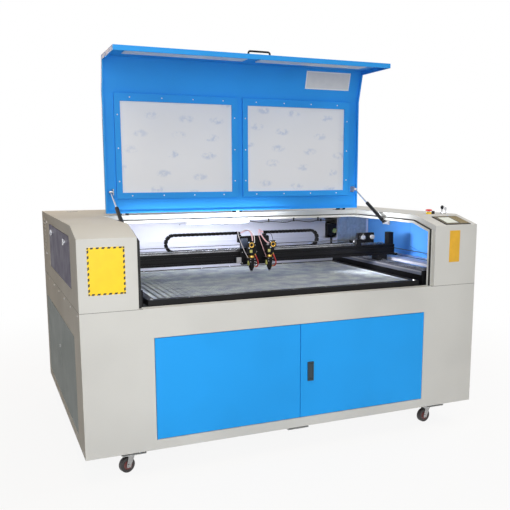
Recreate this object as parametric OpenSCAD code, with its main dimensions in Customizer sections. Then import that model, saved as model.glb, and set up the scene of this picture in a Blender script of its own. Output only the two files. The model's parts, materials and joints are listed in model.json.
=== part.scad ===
// Laser engraving machine: a sheet metal cabinet with a lifting lid, a gantry with
// two laser heads over a honeycomb bed, and a tube compartment behind the bed.
// The machine rests on its casters, with its lid open.

/* [Cabinet] */
// Overall width of the cabinet
body_w = 1850; // [1550:10:2300]
// Overall depth of the cabinet
body_d = 1314; // [1160:2:1700]
// Height of the lower cabinet, from its floor to the seam
base_h = 582; // [480:1:720]
// Height of the upper housing, from the seam to the top cover
upper_h = 323; // [300:1:420]
// Height of the cabinet floor above the ground
ground = 105; // [98:1:125]
// Thickness of the sheet metal
sheet = 2; // [1.5:0.5:3]
// Width of the left pod
pod_l = 227; // [200:1:300]
// Width of the right pod
pod_r = 236; // [215:1:300]
// Depth of the sloping top front edge
slope_d = 155; // [130:1:180]
// Drop of the sloping top front edge
slope_drop = 41; // [30:1:60]
// Distance from the front face to the rear bulkhead of the work chamber
chamber_d = 945; // [900:1:1000]

/* [Lid opening] */
// Depth of the recess that the lid closes into
recess = 26.5; // [24:0.5:34]
// Width of the ledge that carries the gasket
ledge_w = 16; // [14:1:20]
// Depth of the folded edge of the ledge
lip_h = 12; // [8:1:14]
// Width of the gasket
gasket_w = 10; // [6:1:12]
// Height of the gasket
gasket_t = 4; // [3:0.5:4]

/* [Lid] */
// Thickness of the lid
lid_t = 22; // [18:1:22]
// Gap between the lid and each pod
lid_gap = 10.5; // [8:0.5:11]
// Gap below the front flap
flap_gap = 2.5; // [2:0.5:5]
// Length of the flat part of the lid
lid_run = 567; // [540:1:600]
// Width of the folded edge of the lid
lid_lip = 8; // [6:1:8]
// Length of a window frame, front to back
frame_l = 492; // [460:1:500]
// Depth of a window frame
frame_t = 14; // [10:1:16]
// Border of a window frame at the sides and the back
frame_border = 28; // [22:1:36]
// Width of the strip between the two window frames
frame_gap = 30; // [20:1:60]
// Thickness of the window sheets
glass_t = 4; // [3:0.5:5]
// Height of the windows in the front flap
flap_window_h = 130; // [90:1:150]
// Length of the lid handle
handle_l = 115; // [90:1:160]

/* [Doors] */
// Width of one front door
door_w = 637; // [480:1:700]
// Height of the front doors
door_h = 417; // [330:1:440]
// Width of the left side door
side_door_w = 1076; // [900:1:1080]
// Depth of the folded door edges
door_t = 18; // [14:1:22]
// Gap round each door
door_gap = 2.5; // [2:0.5:4]
// Width of the hatch window in the left pod
hatch_w = 775; // [650:1:850]
// Height of the hatch window in the left pod
hatch_h = 210; // [170:1:215]

/* [Bed and guides] */
// Depth of the bed
bed_d = 835; // [700:1:845]
// Height of the bed frame above the seam
bed_rise = 24; // [20:1:30]
// Width of the bed frame bars
bed_bar = 30; // [20:1:40]
// Thickness of the honeycomb
comb_t = 20; // [15:1:20]
// Height of the guide beams above the seam
guide_rise = 68; // [60:1:75]
// Width of the guide beams
guide_w = 50; // [40:1:60]
// Height of the gantry beam
beam_h = 55; // [45:1:60]
// Depth of the gantry beam, front to back
beam_d = 50; // [45:1:60]
// Length of the laser tubes
laser_l = 1500; // [1200:10:1520]
// Diameter of the laser tubes
laser_d = 80; // [60:1:90]

/* [Casters] */
// Diameter of the caster wheels
wheel_d = 65; // [50:1:72]
// Width of the caster wheels
wheel_w = 24; // [18:1:28]
// Trail of the caster wheels
trail = 22; // [15:1:28]

/* [Exhaust] */
// Outside diameter of the exhaust collars
collar_d = 150; // [100:1:180]
// Distance that the exhaust collars stand out of the rear panel
collar_out = 24; // [15:1:40]

/* [Hidden] */
$fn = 48;

// Extents of the cabinet
front_flange = 45;
xl = -body_w / 2;
xr = body_w / 2;
yf = -body_d / 2;
yr = body_d / 2;
z0 = ground;
z1 = z0 + base_h;
z3 = z1 + upper_h;
z2 = z3 - slope_drop;
yb = yf + slope_d;
slope_a = atan(slope_drop / slope_d);

seam_flange = 18;

// The opening between the pods
oxl = xl + pod_l;
oxr = xr - pod_r;
cx = (oxl + oxr) / 2;
inside_l = xl + sheet;
inside_r = xr - sheet;
bulk_y = yf + chamber_d;

// Lid and its hinge
flange_gap = 5;
hinge_back = 3;
hinge_rise = 8.5;
lid_rear = yb + lid_run;
deck_y = lid_rear + flange_gap;
hinge_y = lid_rear + hinge_back;
hinge_z = z3 + hinge_rise;
lx1 = oxl + lid_gap;
lx2 = oxr - lid_gap;
knuckle_r = 8;
knuckle_l = 50;
knuckle_gap = 0.5;
pin_fit = 0.05;
hinge_inset = 86;
frame_side = 55;
frame_w = (lx2 - lx1 - 2 * frame_side - frame_gap) / 2;
frame_y = yb + 6;
front_border = 36;
rabbet = 9;
rabbet_gap = 0.5;

// Gas struts, from the ball stud on the lid to the bracket on the pod
stud_r = 4;
strut_in = 33;
strut_up = 104.5;
strut_fwd = 42.5;
strut_low_y = yf + 391;
strut_low_z = z3 - recess - lip_h - stud_r - 0.5;
strut_top_y = hinge_y - strut_fwd;
strut_top_z = hinge_z + strut_up;
strut_dy = strut_low_y - strut_top_y;
strut_dz = strut_low_z - strut_top_z;
strut_len = norm([strut_dy, strut_dz]);
strut_a = atan2(strut_dz, strut_dy);
strut_r = 9;
rod_r = 4;
tube_len = 183;
eye_r = 7;
eye_out = 8.5;
eye_in = 7;
eye_face_gap = 1;
strut_stroke = 101;

// Doors
door_low = 44;
door_seam = 3;
pivot_in = 4;
pivot_r = 3;
reveal = 20;
flange_end = door_gap + sheet + 0.5;
side_door_h = 411;
side_door_y = yf + 180;
hatch_y = yf + 195;
hatch_z = z1 + 66;
hatch_t = 4;
hatch_gap = 2;
hatch_pivot = 3;
hatch_pin_r = 1.5;
hatch_rim = 10;
hatch_corner = 25;
latch_drop = 34;
latch_front_y = yf + 347;
latch_rear_y = yf + 841;
lever_w = 16;
lever_l = 66;
lever_x = 48;
lever_z = z0 + 281;

// Frame tubes and guides
tube = 35;
tube_wall = 2.5;
weld_gap = 0.3;
jamb_gap = 6;
cross_top = z1 - sheet;
bed_half = (oxr - oxl) / 2 - 48.5;
bed_y = yf + 50;
bed_ledge = 12;
comb_gap = 1;
cross_ys = [bed_y + 60, bed_y + bed_d / 2, bulk_y - 55];
guide_in = bed_half + 25;
guide_top = z1 + guide_rise;
guide_wall = 3;
guide_foot = 12;
rail_w = 20;
rail_h = 12;
rail_x = guide_in + guide_w / 2;
rail_fit = 0.3;
deck_top = z1 + 81;
deck_in = bed_half + 115;
rear_shelf_y = bulk_y - 48;
liner_gap = 18;
liner_t = 1.5;
liner_depth = 38;

// Gantry
beam_y = yf + 450;
beam_z = z1 + 98;
beam_half = bed_half + 125;
beam_wall = 4;
x_rail_y = beam_y + 15;
x_rail_w = 15;
x_rail_h = 12;
beam_top = beam_z + beam_h;
head_x = cx - 23;
head_gap = 92;
nozzle_y = yf + 384;
nozzle_z = z1 + 63;
chain_t = 14;
chain_w = 20;
chain_r = 39;
chain_y = x_rail_y + x_rail_w + 4;
chain_left_x = head_x - 390;
chain_right_x = head_x + 317;
chain_anchor = 62;
arm_half = chain_anchor + 12;
plate_y = beam_y - 12;

// Drive shaft behind the bed
shaft_r = 10;
shaft_y = bulk_y - 50;
shaft_z = z1 + 112;
shaft_half = bed_half + 155;
pulley_r = 16;
pulley_w = 14;
mount_x = bed_half + 119;
motor_w = 58;

// Casters
skid_w = 100;
skid_h = 15;
skid_inset = 15;
skid_x = xr - 193;
caster_y = yr - 80;
plate_t = 4;
plate_half = 35;
axle_r = 5;
stem_r = 6;
caster_turn = [200, 188, 20, -25];

// Exhaust collars
collar_xs = [-500, 500];
collar_z = z0 + 300;
collar_flange = 3;
collar_wall = 2;

// Switches on the right pod
switch_y = yb + 45;
stop_x = oxr + 104;
knob_x = oxr + 130;
key_x = oxr + 183;
start_x = oxr + 211;
panel_x = oxr + 61;
panel_w = 142;
panel_l = 117;
panel_up = 6;
panel_rim = 8;

// ---- shared shapes ----

// Outline of the top front of the machine, d below its surface
function outline(d, low, back) = [
    [yf + d, low],
    [yf + d, z2 - d * tan((90 - slope_a) / 2)],
    [yb + d * tan(slope_a / 2), z3 - d],
    [back, z3 - d]];

function reversed(list) = [for (i = [len(list) - 1 : -1 : 0]) list[i]];

// A shape drawn in the side view, stretched from x1 to x2
module across(x1, x2) {
    translate([x1, 0, 0]) rotate([90, 0, 90]) linear_extrude(x2 - x1) children();
}

// A band that follows the outline from depth d1 to depth d2
module band(d1, d2, x1, x2, low, back) {
    across(x1, x2) polygon(concat(outline(d1, low, back), reversed(outline(d2, low, back))));
}

// A box given by its two corners
module box(a, b) {
    translate(a) cube(b - a);
}

module cyl_x(r, x1, x2, y, z) {
    translate([x1, y, z]) rotate([0, 90, 0]) cylinder(r = r, h = x2 - x1);
}

module cyl_y(r, x, y1, y2, z) {
    translate([x, y1, z]) rotate([-90, 0, 0]) cylinder(r = r, h = y2 - y1);
}

module cyl_z(r, x, y, low, high) {
    translate([x, y, low]) cylinder(r = r, h = high - low);
}

module mirrored(x = 0) {
    children();
    translate([2 * x, 0, 0]) mirror([1, 0, 0]) children();
}

// Turns what is drawn with the lid closed to the open lid at rest
module opened() {
    translate([0, hinge_y, hinge_z]) rotate([-90, 0, 0]) translate([0, -hinge_y, -hinge_z])
        children();
}

// Places a child on the sloping top of a pod, u up the slope
module on_slope(x, u) {
    translate([x, yf, z2]) rotate([slope_a, 0, 0]) translate([0, u, 0]) children();
}

// ---- cabinet ----

module frame_tube(a, b, axis) {
    wall = [for (i = [0 : 2]) i == axis ? -1 : tube_wall];
    difference() {
        box(a, b);
        box(a + wall, b - wall);
    }
}

module base_frame() {
    px = inside_r;
    py = yr - sheet;
    low = z0 + sheet;
    jamb = door_w + door_gap + jamb_gap;
    jambs = [-jamb - tube, jamb];
    color("gray") {
        for (x = [-px, px - tube], y = [-py, py - tube])
            frame_tube([x, y, low], [x + tube, y + tube, cross_top], 2);
        for (x = jambs) {
            frame_tube([x, -py, low + tube + weld_gap],
                [x + tube, -py + tube, cross_top - tube - weld_gap], 2);
        }
        for (z = [low, cross_top - tube]) {
            for (x = [-px, px - tube])
                frame_tube([x, -py + tube + weld_gap, z],
                    [x + tube, py - tube - weld_gap, z + tube], 1);
            for (y = [-py, py - tube])
                frame_tube([-px + tube + weld_gap, y, z],
                    [px - tube - weld_gap, y + tube, z + tube], 0);
        }
        for (y = cross_ys)
            frame_tube([-px + tube + weld_gap, y, cross_top - tube],
                [px - tube - weld_gap, y + tube, cross_top], 0);
    }
}

// Folded channels under the cabinet, with the plates of the casters
module skids() {
    half = skid_w / 2;
    color("gainsboro") difference() {
        for (x = [-skid_x, 0, skid_x]) {
            difference() {
                box([x - half, yf + skid_inset, z0 - skid_h], [x + half, yr - skid_inset, z0]);
                box([x - half + sheet, yf, z0 - skid_h + sheet], [x + half - sheet, yr, z0 + 1]);
            }
            if (x != 0) for (y = [-caster_y, caster_y])
                box([x - plate_half, y - plate_half, z0 - skid_h - plate_t],
                    [x + plate_half, y + plate_half, z0 - skid_h]);
        }
        for (x = [-skid_x, skid_x], y = [-caster_y, caster_y])
            cyl_z(stem_r + pin_fit, x, y, 0, z0);
    }
}

// A flat wall with a folded reveal round one opening, drawn on the XZ plane with its
// face at y = 0 and its inside towards +y
module doored_wall(w, h, ox, oz, ow, oh) {
    difference() {
        union() {
            cube([w, sheet, h]);
            translate([ox - sheet, 0, oz - sheet])
                cube([ow + 2 * sheet, reveal, oh + 2 * sheet]);
        }
        translate([ox, -1, oz]) cube([ow, reveal + 2, oh]);
    }
}

module front_panel() {
    ow = 2 * door_w + door_seam + 2 * door_gap;
    color("gainsboro") difference() {
        union() {
            translate([xl, yf, z0])
                doored_wall(body_w, base_h, body_w / 2 - ow / 2, door_low - door_gap, ow,
                    door_h + 2 * door_gap);
            box([inside_l, yf, cross_top], [inside_r, yf + front_flange, z1]);
        }
        for (s = [-1, 1])
            cyl_z(pivot_r + pin_fit, s * (door_seam / 2 + door_w - pivot_in), yf + pivot_in,
                z0 + door_low - flange_end, z0 + door_low + door_h + flange_end);
    }
}

module left_side_panel() {
    color("gainsboro") difference() {
        translate([xl, yr - sheet, z0]) rotate([0, 0, -90])
            doored_wall(body_d - 2 * sheet, base_h,
                yr - sheet - side_door_y - side_door_w - door_gap, door_low - door_gap,
                side_door_w + 2 * door_gap, side_door_h + 2 * door_gap);
        cyl_z(pivot_r + pin_fit, xl + pivot_in, side_door_y + side_door_w - pivot_in,
            z0 + door_low - flange_end, z0 + door_low + side_door_h + flange_end);
    }
}

module right_side_panel() {
    louvre_y = yr - 330;
    louvre_z = z0 + 300;
    louvre_pitch = 16;
    color("gainsboro") difference() {
        box([inside_r, yf + sheet, z0], [xr, yr - sheet, z1]);
        for (i = [0 : 11])
            box([inside_r - 1, louvre_y, louvre_z + i * louvre_pitch],
                [xr + 1, louvre_y + 200, louvre_z + i * louvre_pitch + 6]);
    }
}

module rear_panel() {
    color("gainsboro") difference() {
        box([xl, yr - sheet, z0], [xr, yr, z1]);
        for (x = collar_xs)
            cyl_y(collar_d / 2 + rail_fit, x, yr - 20, yr + 1, collar_z);
    }
}

module floor_panel() {
    color("gainsboro") box([inside_l, yf + sheet, z0], [inside_r, yr - sheet, z0 + sheet]);
}

// One pod, drawn from its outer side at x = 0 to its inner edge at x = w
module pod(w) {
    back = yr - sheet;
    ledge_end = deck_y - ledge_w;
    band(0, sheet, 0, w, z1, back);
    across(0, sheet) polygon(concat(outline(0, z1, back), [[back, z1]]));
    band(0, recess + sheet, w - sheet, w, z1, deck_y + sheet);
    band(recess, recess + sheet, w - sheet, w + ledge_w, z1, ledge_end);
    band(recess, recess + lip_h, w + ledge_w - sheet, w + ledge_w, z1, ledge_end);
    box([0, yf, z1], [w, yf + seam_flange, z1 + sheet]);
    box([0, yf, z1], [seam_flange, back, z1 + sheet]);
}

// Outline of the hatch, with its chamfered top front corner, grown by g
module hatch_outline(g) {
    polygon([[hatch_y - g, hatch_z - g], [hatch_y + hatch_w + g, hatch_z - g],
        [hatch_y + hatch_w + g, hatch_z + hatch_h + g],
        [hatch_y - g + hatch_corner, hatch_z + hatch_h + g],
        [hatch_y - g, hatch_z + hatch_h + g - hatch_corner]]);
}

module left_pod() {
    slot_x = xl + 116;
    slot_y = yf + 1172;
    color("gainsboro") difference() {
        union() {
            translate([xl, 0, 0]) pod(pod_l);
            across(xl, xl + hatch_rim) hatch_outline(hatch_gap + sheet);
        }
        across(xl - 1, xl + hatch_rim + 1) hatch_outline(hatch_gap);
        cyl_y(hatch_pin_r + pin_fit, xl + hatch_pivot, hatch_y - hatch_gap - sheet - 0.5,
            hatch_y + hatch_w + hatch_gap + sheet + 0.5, hatch_z + hatch_pivot);
        box([slot_x, slot_y, z3 - sheet - 1], [slot_x + 51, slot_y + 16, z3 + 1]);
    }
}

module right_pod() {
    color("gainsboro") difference() {
        translate([xr, 0, 0]) mirror([1, 0, 0]) pod(pod_r);
        on_slope(panel_x + panel_rim, panel_up + panel_rim) translate([0, 0, -20])
            cube([panel_w - 2 * panel_rim, panel_l - 2 * panel_rim, 40]);
        for (x = [stop_x, knob_x, key_x, start_x])
            cyl_z(barrel_r + rail_fit, x, switch_y, z3 - 10, z3 + 10);
    }
}

module rear_deck() {
    z_ledge = z3 - recess;
    color("gainsboro") {
        box([oxl, deck_y, z3 - sheet], [oxr, yr, z3]);
        box([oxl, deck_y, z_ledge - sheet], [oxr, deck_y + sheet, z3]);
        box([oxl, deck_y - ledge_w, z_ledge - sheet], [oxr, deck_y + sheet, z_ledge]);
        box([oxl + ledge_w, deck_y - ledge_w, z_ledge - lip_h],
            [oxr - ledge_w, deck_y - ledge_w + sheet, z_ledge]);
        box([xl, yr - sheet, z1], [xr, yr, z3]);
    }
}

// Inner side walls of the work chamber
module side_liners() {
    color("cornflowerblue") {
        difference() {
            across(xl + liner_gap, xl + liner_gap + liner_t) liner_outline();
            across(xl, xl + 100) hatch_outline(hatch_gap);
        }
        across(xr - liner_gap - liner_t, xr - liner_gap) liner_outline();
    }
}

module liner_outline() {
    polygon(concat(outline(liner_depth, deck_top, bulk_y), [[bulk_y, deck_top]]));
}

module rear_bulkhead() {
    port = [oxr - 74, oxr + 3];
    rib_z = z1 + 106;
    rib_pitch = 17;
    rib_h = 6;
    rib_t = 5;
    half = body_w / 2 - liner_gap;
    color("lavender") {
        difference() {
            box([-half, bulk_y, cross_top], [half, bulk_y + sheet, z3 - sheet]);
            box([port[0], bulk_y - 1, z1 + 148], [port[1], bulk_y + 5, z1 + 288]);
        }
        box([inside_l, bulk_y, cross_top], [inside_r, yr - sheet, z1]);
        for (i = [0 : 3])
            box([liner_t - half, bulk_y - rib_t, rib_z + i * rib_pitch],
                [port[0] - 10, bulk_y, rib_z + i * rib_pitch + rib_h]);
    }
}

// Folded shelf round three sides of the bed
module work_deck() {
    under = deck_top - sheet;
    front = yf + front_flange;
    color("lightsteelblue") {
        for (s = [-1, 1]) {
            edge = cx + s * deck_in;
            wall = s * (body_w / 2 - liner_gap);
            box([min(edge, wall), front, under], [max(edge, wall), bulk_y, deck_top]);
            box([edge - (s < 0 ? sheet : 0), front, cross_top],
                [edge + (s > 0 ? sheet : 0), rear_shelf_y + sheet, deck_top]);
        }
        box([cx - deck_in - sheet, rear_shelf_y, under], [cx + deck_in + sheet, bulk_y, deck_top]);
        box([cx - deck_in, rear_shelf_y, z1 + guide_rise + 2],
            [cx + deck_in, rear_shelf_y + sheet, deck_top]);
    }
}

module lid_gasket() {
    back = deck_y - 6;
    near = ledge_w - gasket_w;
    z = z3 - recess;
    color("black") {
        band(recess - gasket_t, recess, oxl + near, oxl + ledge_w, z1, back);
        band(recess - gasket_t, recess, oxr - ledge_w, oxr - near, z1, back);
        box([oxl + near, back - gasket_w, z], [oxr - near, back, z + gasket_t]);
    }
}

// ---- bed, guides and drive ----

module bed_frame() {
    top = z1 + bed_rise;
    a = [cx - bed_half, bed_y];
    b = [cx + bed_half, bed_y + bed_d];
    color("black") difference() {
        box([a.x, a.y, cross_top], [b.x, b.y, top]);
        box([a.x + bed_bar, a.y + bed_bar, top - comb_t - comb_gap],
            [b.x - bed_bar, b.y - bed_bar, top + 1]);
        box([a.x + bed_bar + bed_ledge, a.y + bed_bar + bed_ledge, cross_top - 1],
            [b.x - bed_bar - bed_ledge, b.y - bed_bar - bed_ledge, top]);
    }
}

module honeycomb() {
    side = bed_bar + comb_gap;
    top = z1 + bed_rise - comb_gap;
    color("silver")
        box([cx - bed_half + side, bed_y + side, top - comb_t],
            [cx + bed_half - side, bed_y + bed_d - side, top]);
}

module guide_beams() {
    color("black") mirrored(cx) {
        difference() {
            box([cx + guide_in, bed_y + guide_foot, cross_top],
                [cx + guide_in + guide_w, bulk_y, guide_top]);
            box([cx + guide_in + guide_wall, bed_y, cross_top + guide_wall],
                [cx + guide_in + guide_w - guide_wall, bulk_y + 1, guide_top - guide_wall]);
        }
        box([cx + guide_in - 5, bed_y, z1],
            [cx + guide_in + guide_w + 15, bed_y + guide_foot, guide_top]);
    }
    shaft_mounts();
}

module guide_rails() {
    color("silver") mirrored(cx)
        box([cx + rail_x - rail_w / 2, bed_y + 18, guide_top],
            [cx + rail_x + rail_w / 2, shaft_y - 36, guide_top + rail_h]);
}

// Bearing blocks and the motor of the drive shaft
module shaft_mounts() {
    color("dimgray") {
        mirrored(cx) difference() {
            box([cx + mount_x, shaft_y - 18, deck_top],
                [cx + mount_x + 16, shaft_y + 18, shaft_z + 20]);
            cyl_x(shaft_r + pin_fit, cx + mount_x - 1, cx + mount_x + 17, shaft_y, shaft_z);
        }
        difference() {
            box([cx + shaft_half + 3, shaft_y - motor_w / 2, deck_top],
                [cx + shaft_half + 68, shaft_y + motor_w / 2, deck_top + motor_w]);
            cyl_x(shaft_r + pin_fit, cx + shaft_half, cx + shaft_half + 14, shaft_y, shaft_z);
        }
    }
}

module drive_shaft() {
    color("silver") {
        cyl_x(shaft_r, cx - shaft_half, cx + shaft_half + 13, shaft_y, shaft_z);
        mirrored(cx)
            cyl_x(pulley_r, cx + shaft_half - pulley_w - 4, cx + shaft_half - 4, shaft_y, shaft_z);
    }
}

module laser_tubes() {
    holder_half = 15;
    holder_reach = 50;
    y_mid = (bulk_y + yr) / 2;
    rows = [[y_mid - 60, z1 + 77], [y_mid + 60, z1 + 177]];
    for (row = rows) {
        color("lightcyan") cyl_x(laser_d / 2, -laser_l / 2, laser_l / 2, row[0], row[1]);
        for (x = [-laser_l / 3, laser_l / 3])
            color("dimgray") difference() {
                box([x - holder_half, row[0] - holder_reach, z1],
                    [x + holder_half, row[0] + holder_reach, row[1] + 5]);
                cyl_x(laser_d / 2 + rail_fit, x - holder_half - 1, x + holder_half + 1, row[0],
                    row[1]);
            }
    }
}

module rear_mirror() {
    x = oxr - 44;
    y = bulk_y - 20;
    color("black") {
        cyl_z(6, x, y, deck_top, z1 + 170);
        box([x - 20, y - 14, deck_top], [x + 20, y + 14, deck_top + 6]);
        box([x - 28, y - 12, z1 + 165], [x + 28, y + 12, z1 + 233]);
    }
    color("gold") cyl_y(14, x + 12, y - 20, y - 12, z1 + 192);
}

// Two power supplies and a drive rack on the cabinet floor
module electronics() {
    z = z0 + sheet;
    supply = [180, 170, 210];
    rack = [210, 280, 120];
    x = inside_r - tube - 30;
    color("silver") for (y = [-380, -130])
        translate([x - supply.x, y, z]) cube(supply);
    color("dimgray") translate([x - supply.x - 20, 140, z]) cube(rack);
}

module exhaust_collars() {
    color("gray") for (x = collar_xs)
        difference() {
            union() {
                cyl_y(collar_d / 2, x, yr - 10, yr + collar_out, collar_z);
                cyl_y(collar_d / 2 + 22, x, yr, yr + collar_flange, collar_z);
            }
            cyl_y(collar_d / 2 - collar_wall, x, yr - 11, yr + collar_out + 1, collar_z);
        }
}

// ---- lamp and its cable ----
lamp_y = deck_y - ledge_w;
lamp_z = z3 - 40;
lamp_x1 = cx - 290;
lamp_x2 = cx + 40;

module lamp() {
    rail = 10;
    cap_l = 12;
    cap_out = 27;
    color("white") {
        box([lamp_x1, lamp_y - rail, lamp_z - 12], [lamp_x2, lamp_y, lamp_z + 10]);
        cyl_x(7.5, lamp_x1 + cap_l, lamp_x2 - cap_l, lamp_y - 18, lamp_z);
        for (x = [lamp_x1, lamp_x2 - cap_l])
            box([x, lamp_y - cap_out, lamp_z - 9], [x + cap_l, lamp_y - rail, lamp_z + 9]);
    }
}

// Route of the lamp cable, from the lamp along the ledge to the bulkhead
cable_r = 2;
cable_route = [[0, -5, -4], [30, -5, -8], [75, -4, -13], [120, -3, -10], [165, -3, -13],
    [215, -4, -17], [265, -3, -10], [310, -3, -13], [360, -4, -19], [410, -3, -12],
    [455, -4, -14], [500, 2, -18], [530, 40, -22], [545, 100, -26], [550, 160, -28],
    [550, 200, -29], [550, bulk_y - lamp_y, -29]];

function smooth_point(p, i, t) =
    let (n = len(p) - 1,
        a = p[max(i - 1, 0)], b = p[i], c = p[min(i + 1, n)], d = p[min(i + 2, n)])
    0.5 * (2 * b + (c - a) * t + (2 * a - 5 * b + 4 * c - d) * t * t
        + (3 * b - a - 3 * c + d) * t * t * t);

function smooth_route(p, steps) = concat(
    [for (i = [0 : len(p) - 2], k = [0 : steps - 1]) smooth_point(p, i, k / steps)],
    [p[len(p) - 1]]);

// A tube of eight sides swept along a route that sets out along one way and ends along another
module swept(route, r, out, in) {
    sides = 8;
    n = len(route);
    side = [0.1, 1, 0.05];
    rings = [for (i = [0 : n - 1])
        let (t = i == 0 ? out : i == n - 1 ? in : route[i + 1] - route[i - 1],
            f = t / norm(t), u = cross(side, f) / norm(cross(side, f)), v = cross(f, u))
        for (k = [0 : sides - 1])
            route[i] + r * (cos(360 * k / sides) * u + sin(360 * k / sides) * v)];
    walls = [for (i = [0 : n - 2], k = [0 : sides - 1])
        let (a = i * sides + k, b = i * sides + (k + 1) % sides)
        [a, a + sides, b + sides, b]];
    caps = [[for (k = [0 : sides - 1]) k],
        [for (k = [sides - 1 : -1 : 0]) (n - 1) * sides + k]];
    polyhedron(rings, concat(walls, caps));
}

module lamp_cable() {
    color("black") translate([lamp_x2, lamp_y, lamp_z])
        swept(smooth_route(cable_route, 4), cable_r, [1, 0, 0], [0, 1, 0]);
}

// ---- controls ----

module control_panel() {
    color("dimgray") on_slope(panel_x, panel_up) {
        cube([panel_w, panel_l, 5]);
        translate([panel_rim + 1, panel_rim + 1, -28])
            cube([panel_w - 2 * panel_rim - 2, panel_l - 2 * panel_rim - 2, 29]);
    }
}

barrel_r = 7;
barrel_l = 25;
shank_r = 4;
shank_l = 20;
stop_h = 10;
stop_lift = 14.5;
key_ring_h = 8;
start_ring_h = 5;

module barrel(x) {
    cyl_z(barrel_r, x, switch_y, z3 - barrel_l, z3 + 1);
}

module switch_ring(x, r, h) {
    difference() {
        union() {
            cyl_z(r, x, switch_y, z3, z3 + h);
            barrel(x);
        }
        cyl_z(shank_r + pin_fit, x, switch_y, z3 - barrel_l - 1, z3 + h + 1);
    }
}

module switch_housings() {
    color("gold") switch_ring(stop_x, 13, stop_h);
    color("silver") switch_ring(key_x, 11, key_ring_h);
    color("silver") switch_ring(start_x, 9, start_ring_h);
    color("black") {
        cyl_z(8, knob_x, switch_y, z3, z3 + 14);
        barrel(knob_x);
    }
}

module stop_button() {
    low = z3 + stop_lift;
    color("red") {
        cyl_z(16.5, stop_x, switch_y, low, low + 9.5);
        cyl_z(shank_r, stop_x, switch_y, z3 - shank_l, low + 1);
    }
}

module key() {
    top = z3 + key_ring_h;
    color("dimgray") {
        cyl_z(shank_r, key_x, switch_y, z3 - shank_l, top + 2);
        box([key_x - 1.2, switch_y - 3.5, top + 1], [key_x + 1.2, switch_y + 3.5, top + 16]);
        cyl_x(10, key_x - 1.5, key_x + 1.5, switch_y, top + 23);
    }
}

module start_button() {
    low = z3 + start_ring_h + 3.5;
    color("silver") {
        cyl_z(shank_r, start_x, switch_y, z3 - shank_l, low + 0.5);
        cyl_z(6, start_x, switch_y, low, low + 3.5);
    }
}

// ---- fittings of the lid hinges and gas struts on the deck and pods ----

hinge_xs = [lx1 + hinge_inset, cx - 10, lx2 - hinge_inset];

// Flat leaf lying behind the hinge axis, with its own part of the knuckle
module hinge_leaf(x, tabs, leaf_w, bore) {
    flat = 45;
    notch = knuckle_r + 1;
    difference() {
        union() {
            translate([x - knuckle_l / 2, notch, -hinge_rise])
                cube([knuckle_l, flat - notch, sheet]);
            for (t = tabs) {
                translate([x + t, 0, -hinge_rise]) cube([leaf_w, notch + 1, sheet]);
                cyl_x(knuckle_r, x + t, x + t + leaf_w, 0, 0);
            }
        }
        if (bore) cyl_x(3 + pin_fit, x - knuckle_l, x + knuckle_l, 0, 0);
    }
}

module deck_fittings() {
    third = knuckle_l / 3;
    color("dimgray") for (x = hinge_xs)
        translate([0, hinge_y, hinge_z])
            hinge_leaf(x, [-third / 2 + knuckle_gap], third - 2 * knuckle_gap, true);
    color("silver") for (s = [-1, 1]) {
        edge = s < 0 ? oxl : oxr;
        stud_end = edge - s * (strut_in - eye_out - eye_face_gap);
        in = edge - s * (ledge_w - sheet - 1);
        out = in + s * 3;
        box([min(in, out), strut_low_y - 25, strut_low_z - 12],
            [max(in, out), strut_low_y + 25, z3 - recess - sheet]);
        cyl_x(stud_r, min(in, stud_end), max(in, stud_end), strut_low_y, strut_low_z);
    }
}

// ---- lid, drawn closed and then opened ----

// The two places across the lid that hold a window frame
frame_xs = [lx1 + frame_side, lx2 - frame_side - frame_w];
window_l = frame_l - frame_border - front_border;
window_y = frame_y + front_border;
flap_window_z = z1 + 46;

module window_holes(grow) {
    for (x = frame_xs)
        translate([x + frame_border - grow, window_y - grow, 0])
            cube([frame_w - 2 * frame_border + 2 * grow, window_l + 2 * grow, z3 + 50]);
}

module flap_holes(grow, y1, y2) {
    for (x = frame_xs)
        box([x + frame_border - grow, y1, flap_window_z - grow],
            [x + frame_w - frame_border + grow, y2, flap_window_z + flap_window_h + grow]);
}

module lid_shell() {
    low = z1 + flap_gap;
    color("dodgerblue") opened() difference() {
        union() {
            band(0, sheet, lx1, lx2, low, lid_rear);
            for (x = [[lx1, lx1 + sheet, lx1 + lid_lip], [lx2, lx2 - sheet, lx2 - lid_lip]]) {
                band(0, lid_t, min(x[0], x[1]), max(x[0], x[1]), low, lid_rear);
                band(lid_t - sheet, lid_t, min(x[0], x[2]), max(x[0], x[2]), low, lid_rear);
            }
            box([lx1, lid_rear - sheet, z3 - lid_t], [lx2, lid_rear, z3]);
            box([lx1, lid_rear - lid_lip, z3 - lid_t], [lx2, lid_rear, z3 - lid_t + sheet]);
            box([lx1, yf, low], [lx2, yf + lid_t, low + sheet]);
            box([lx1, yf + lid_t - sheet, low], [lx2, yf + lid_t, low + lid_lip]);
        }
        window_holes(0);
        flap_holes(0, yf - 1, yf + sheet + 1);
    }
}

module window_frames() {
    top = z3 - sheet;
    color("dodgerblue") opened() difference() {
        for (x = frame_xs)
            box([x, frame_y, top - frame_t], [x + frame_w, frame_y + frame_l, top]);
        window_holes(0);
        intersection() {
            window_holes(rabbet + rabbet_gap);
            box([lx1, yf, top - glass_t - rabbet_gap], [lx2, yr, top + 1]);
        }
    }
}

module window_sheets() {
    top = z3 - sheet;
    color("whitesmoke", 0.9) opened() {
        intersection() {
            window_holes(rabbet);
            box([lx1, yf, top - glass_t], [lx2, yr, top]);
        }
        flap_holes(rabbet, yf + sheet, yf + sheet + glass_t);
    }
}

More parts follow.
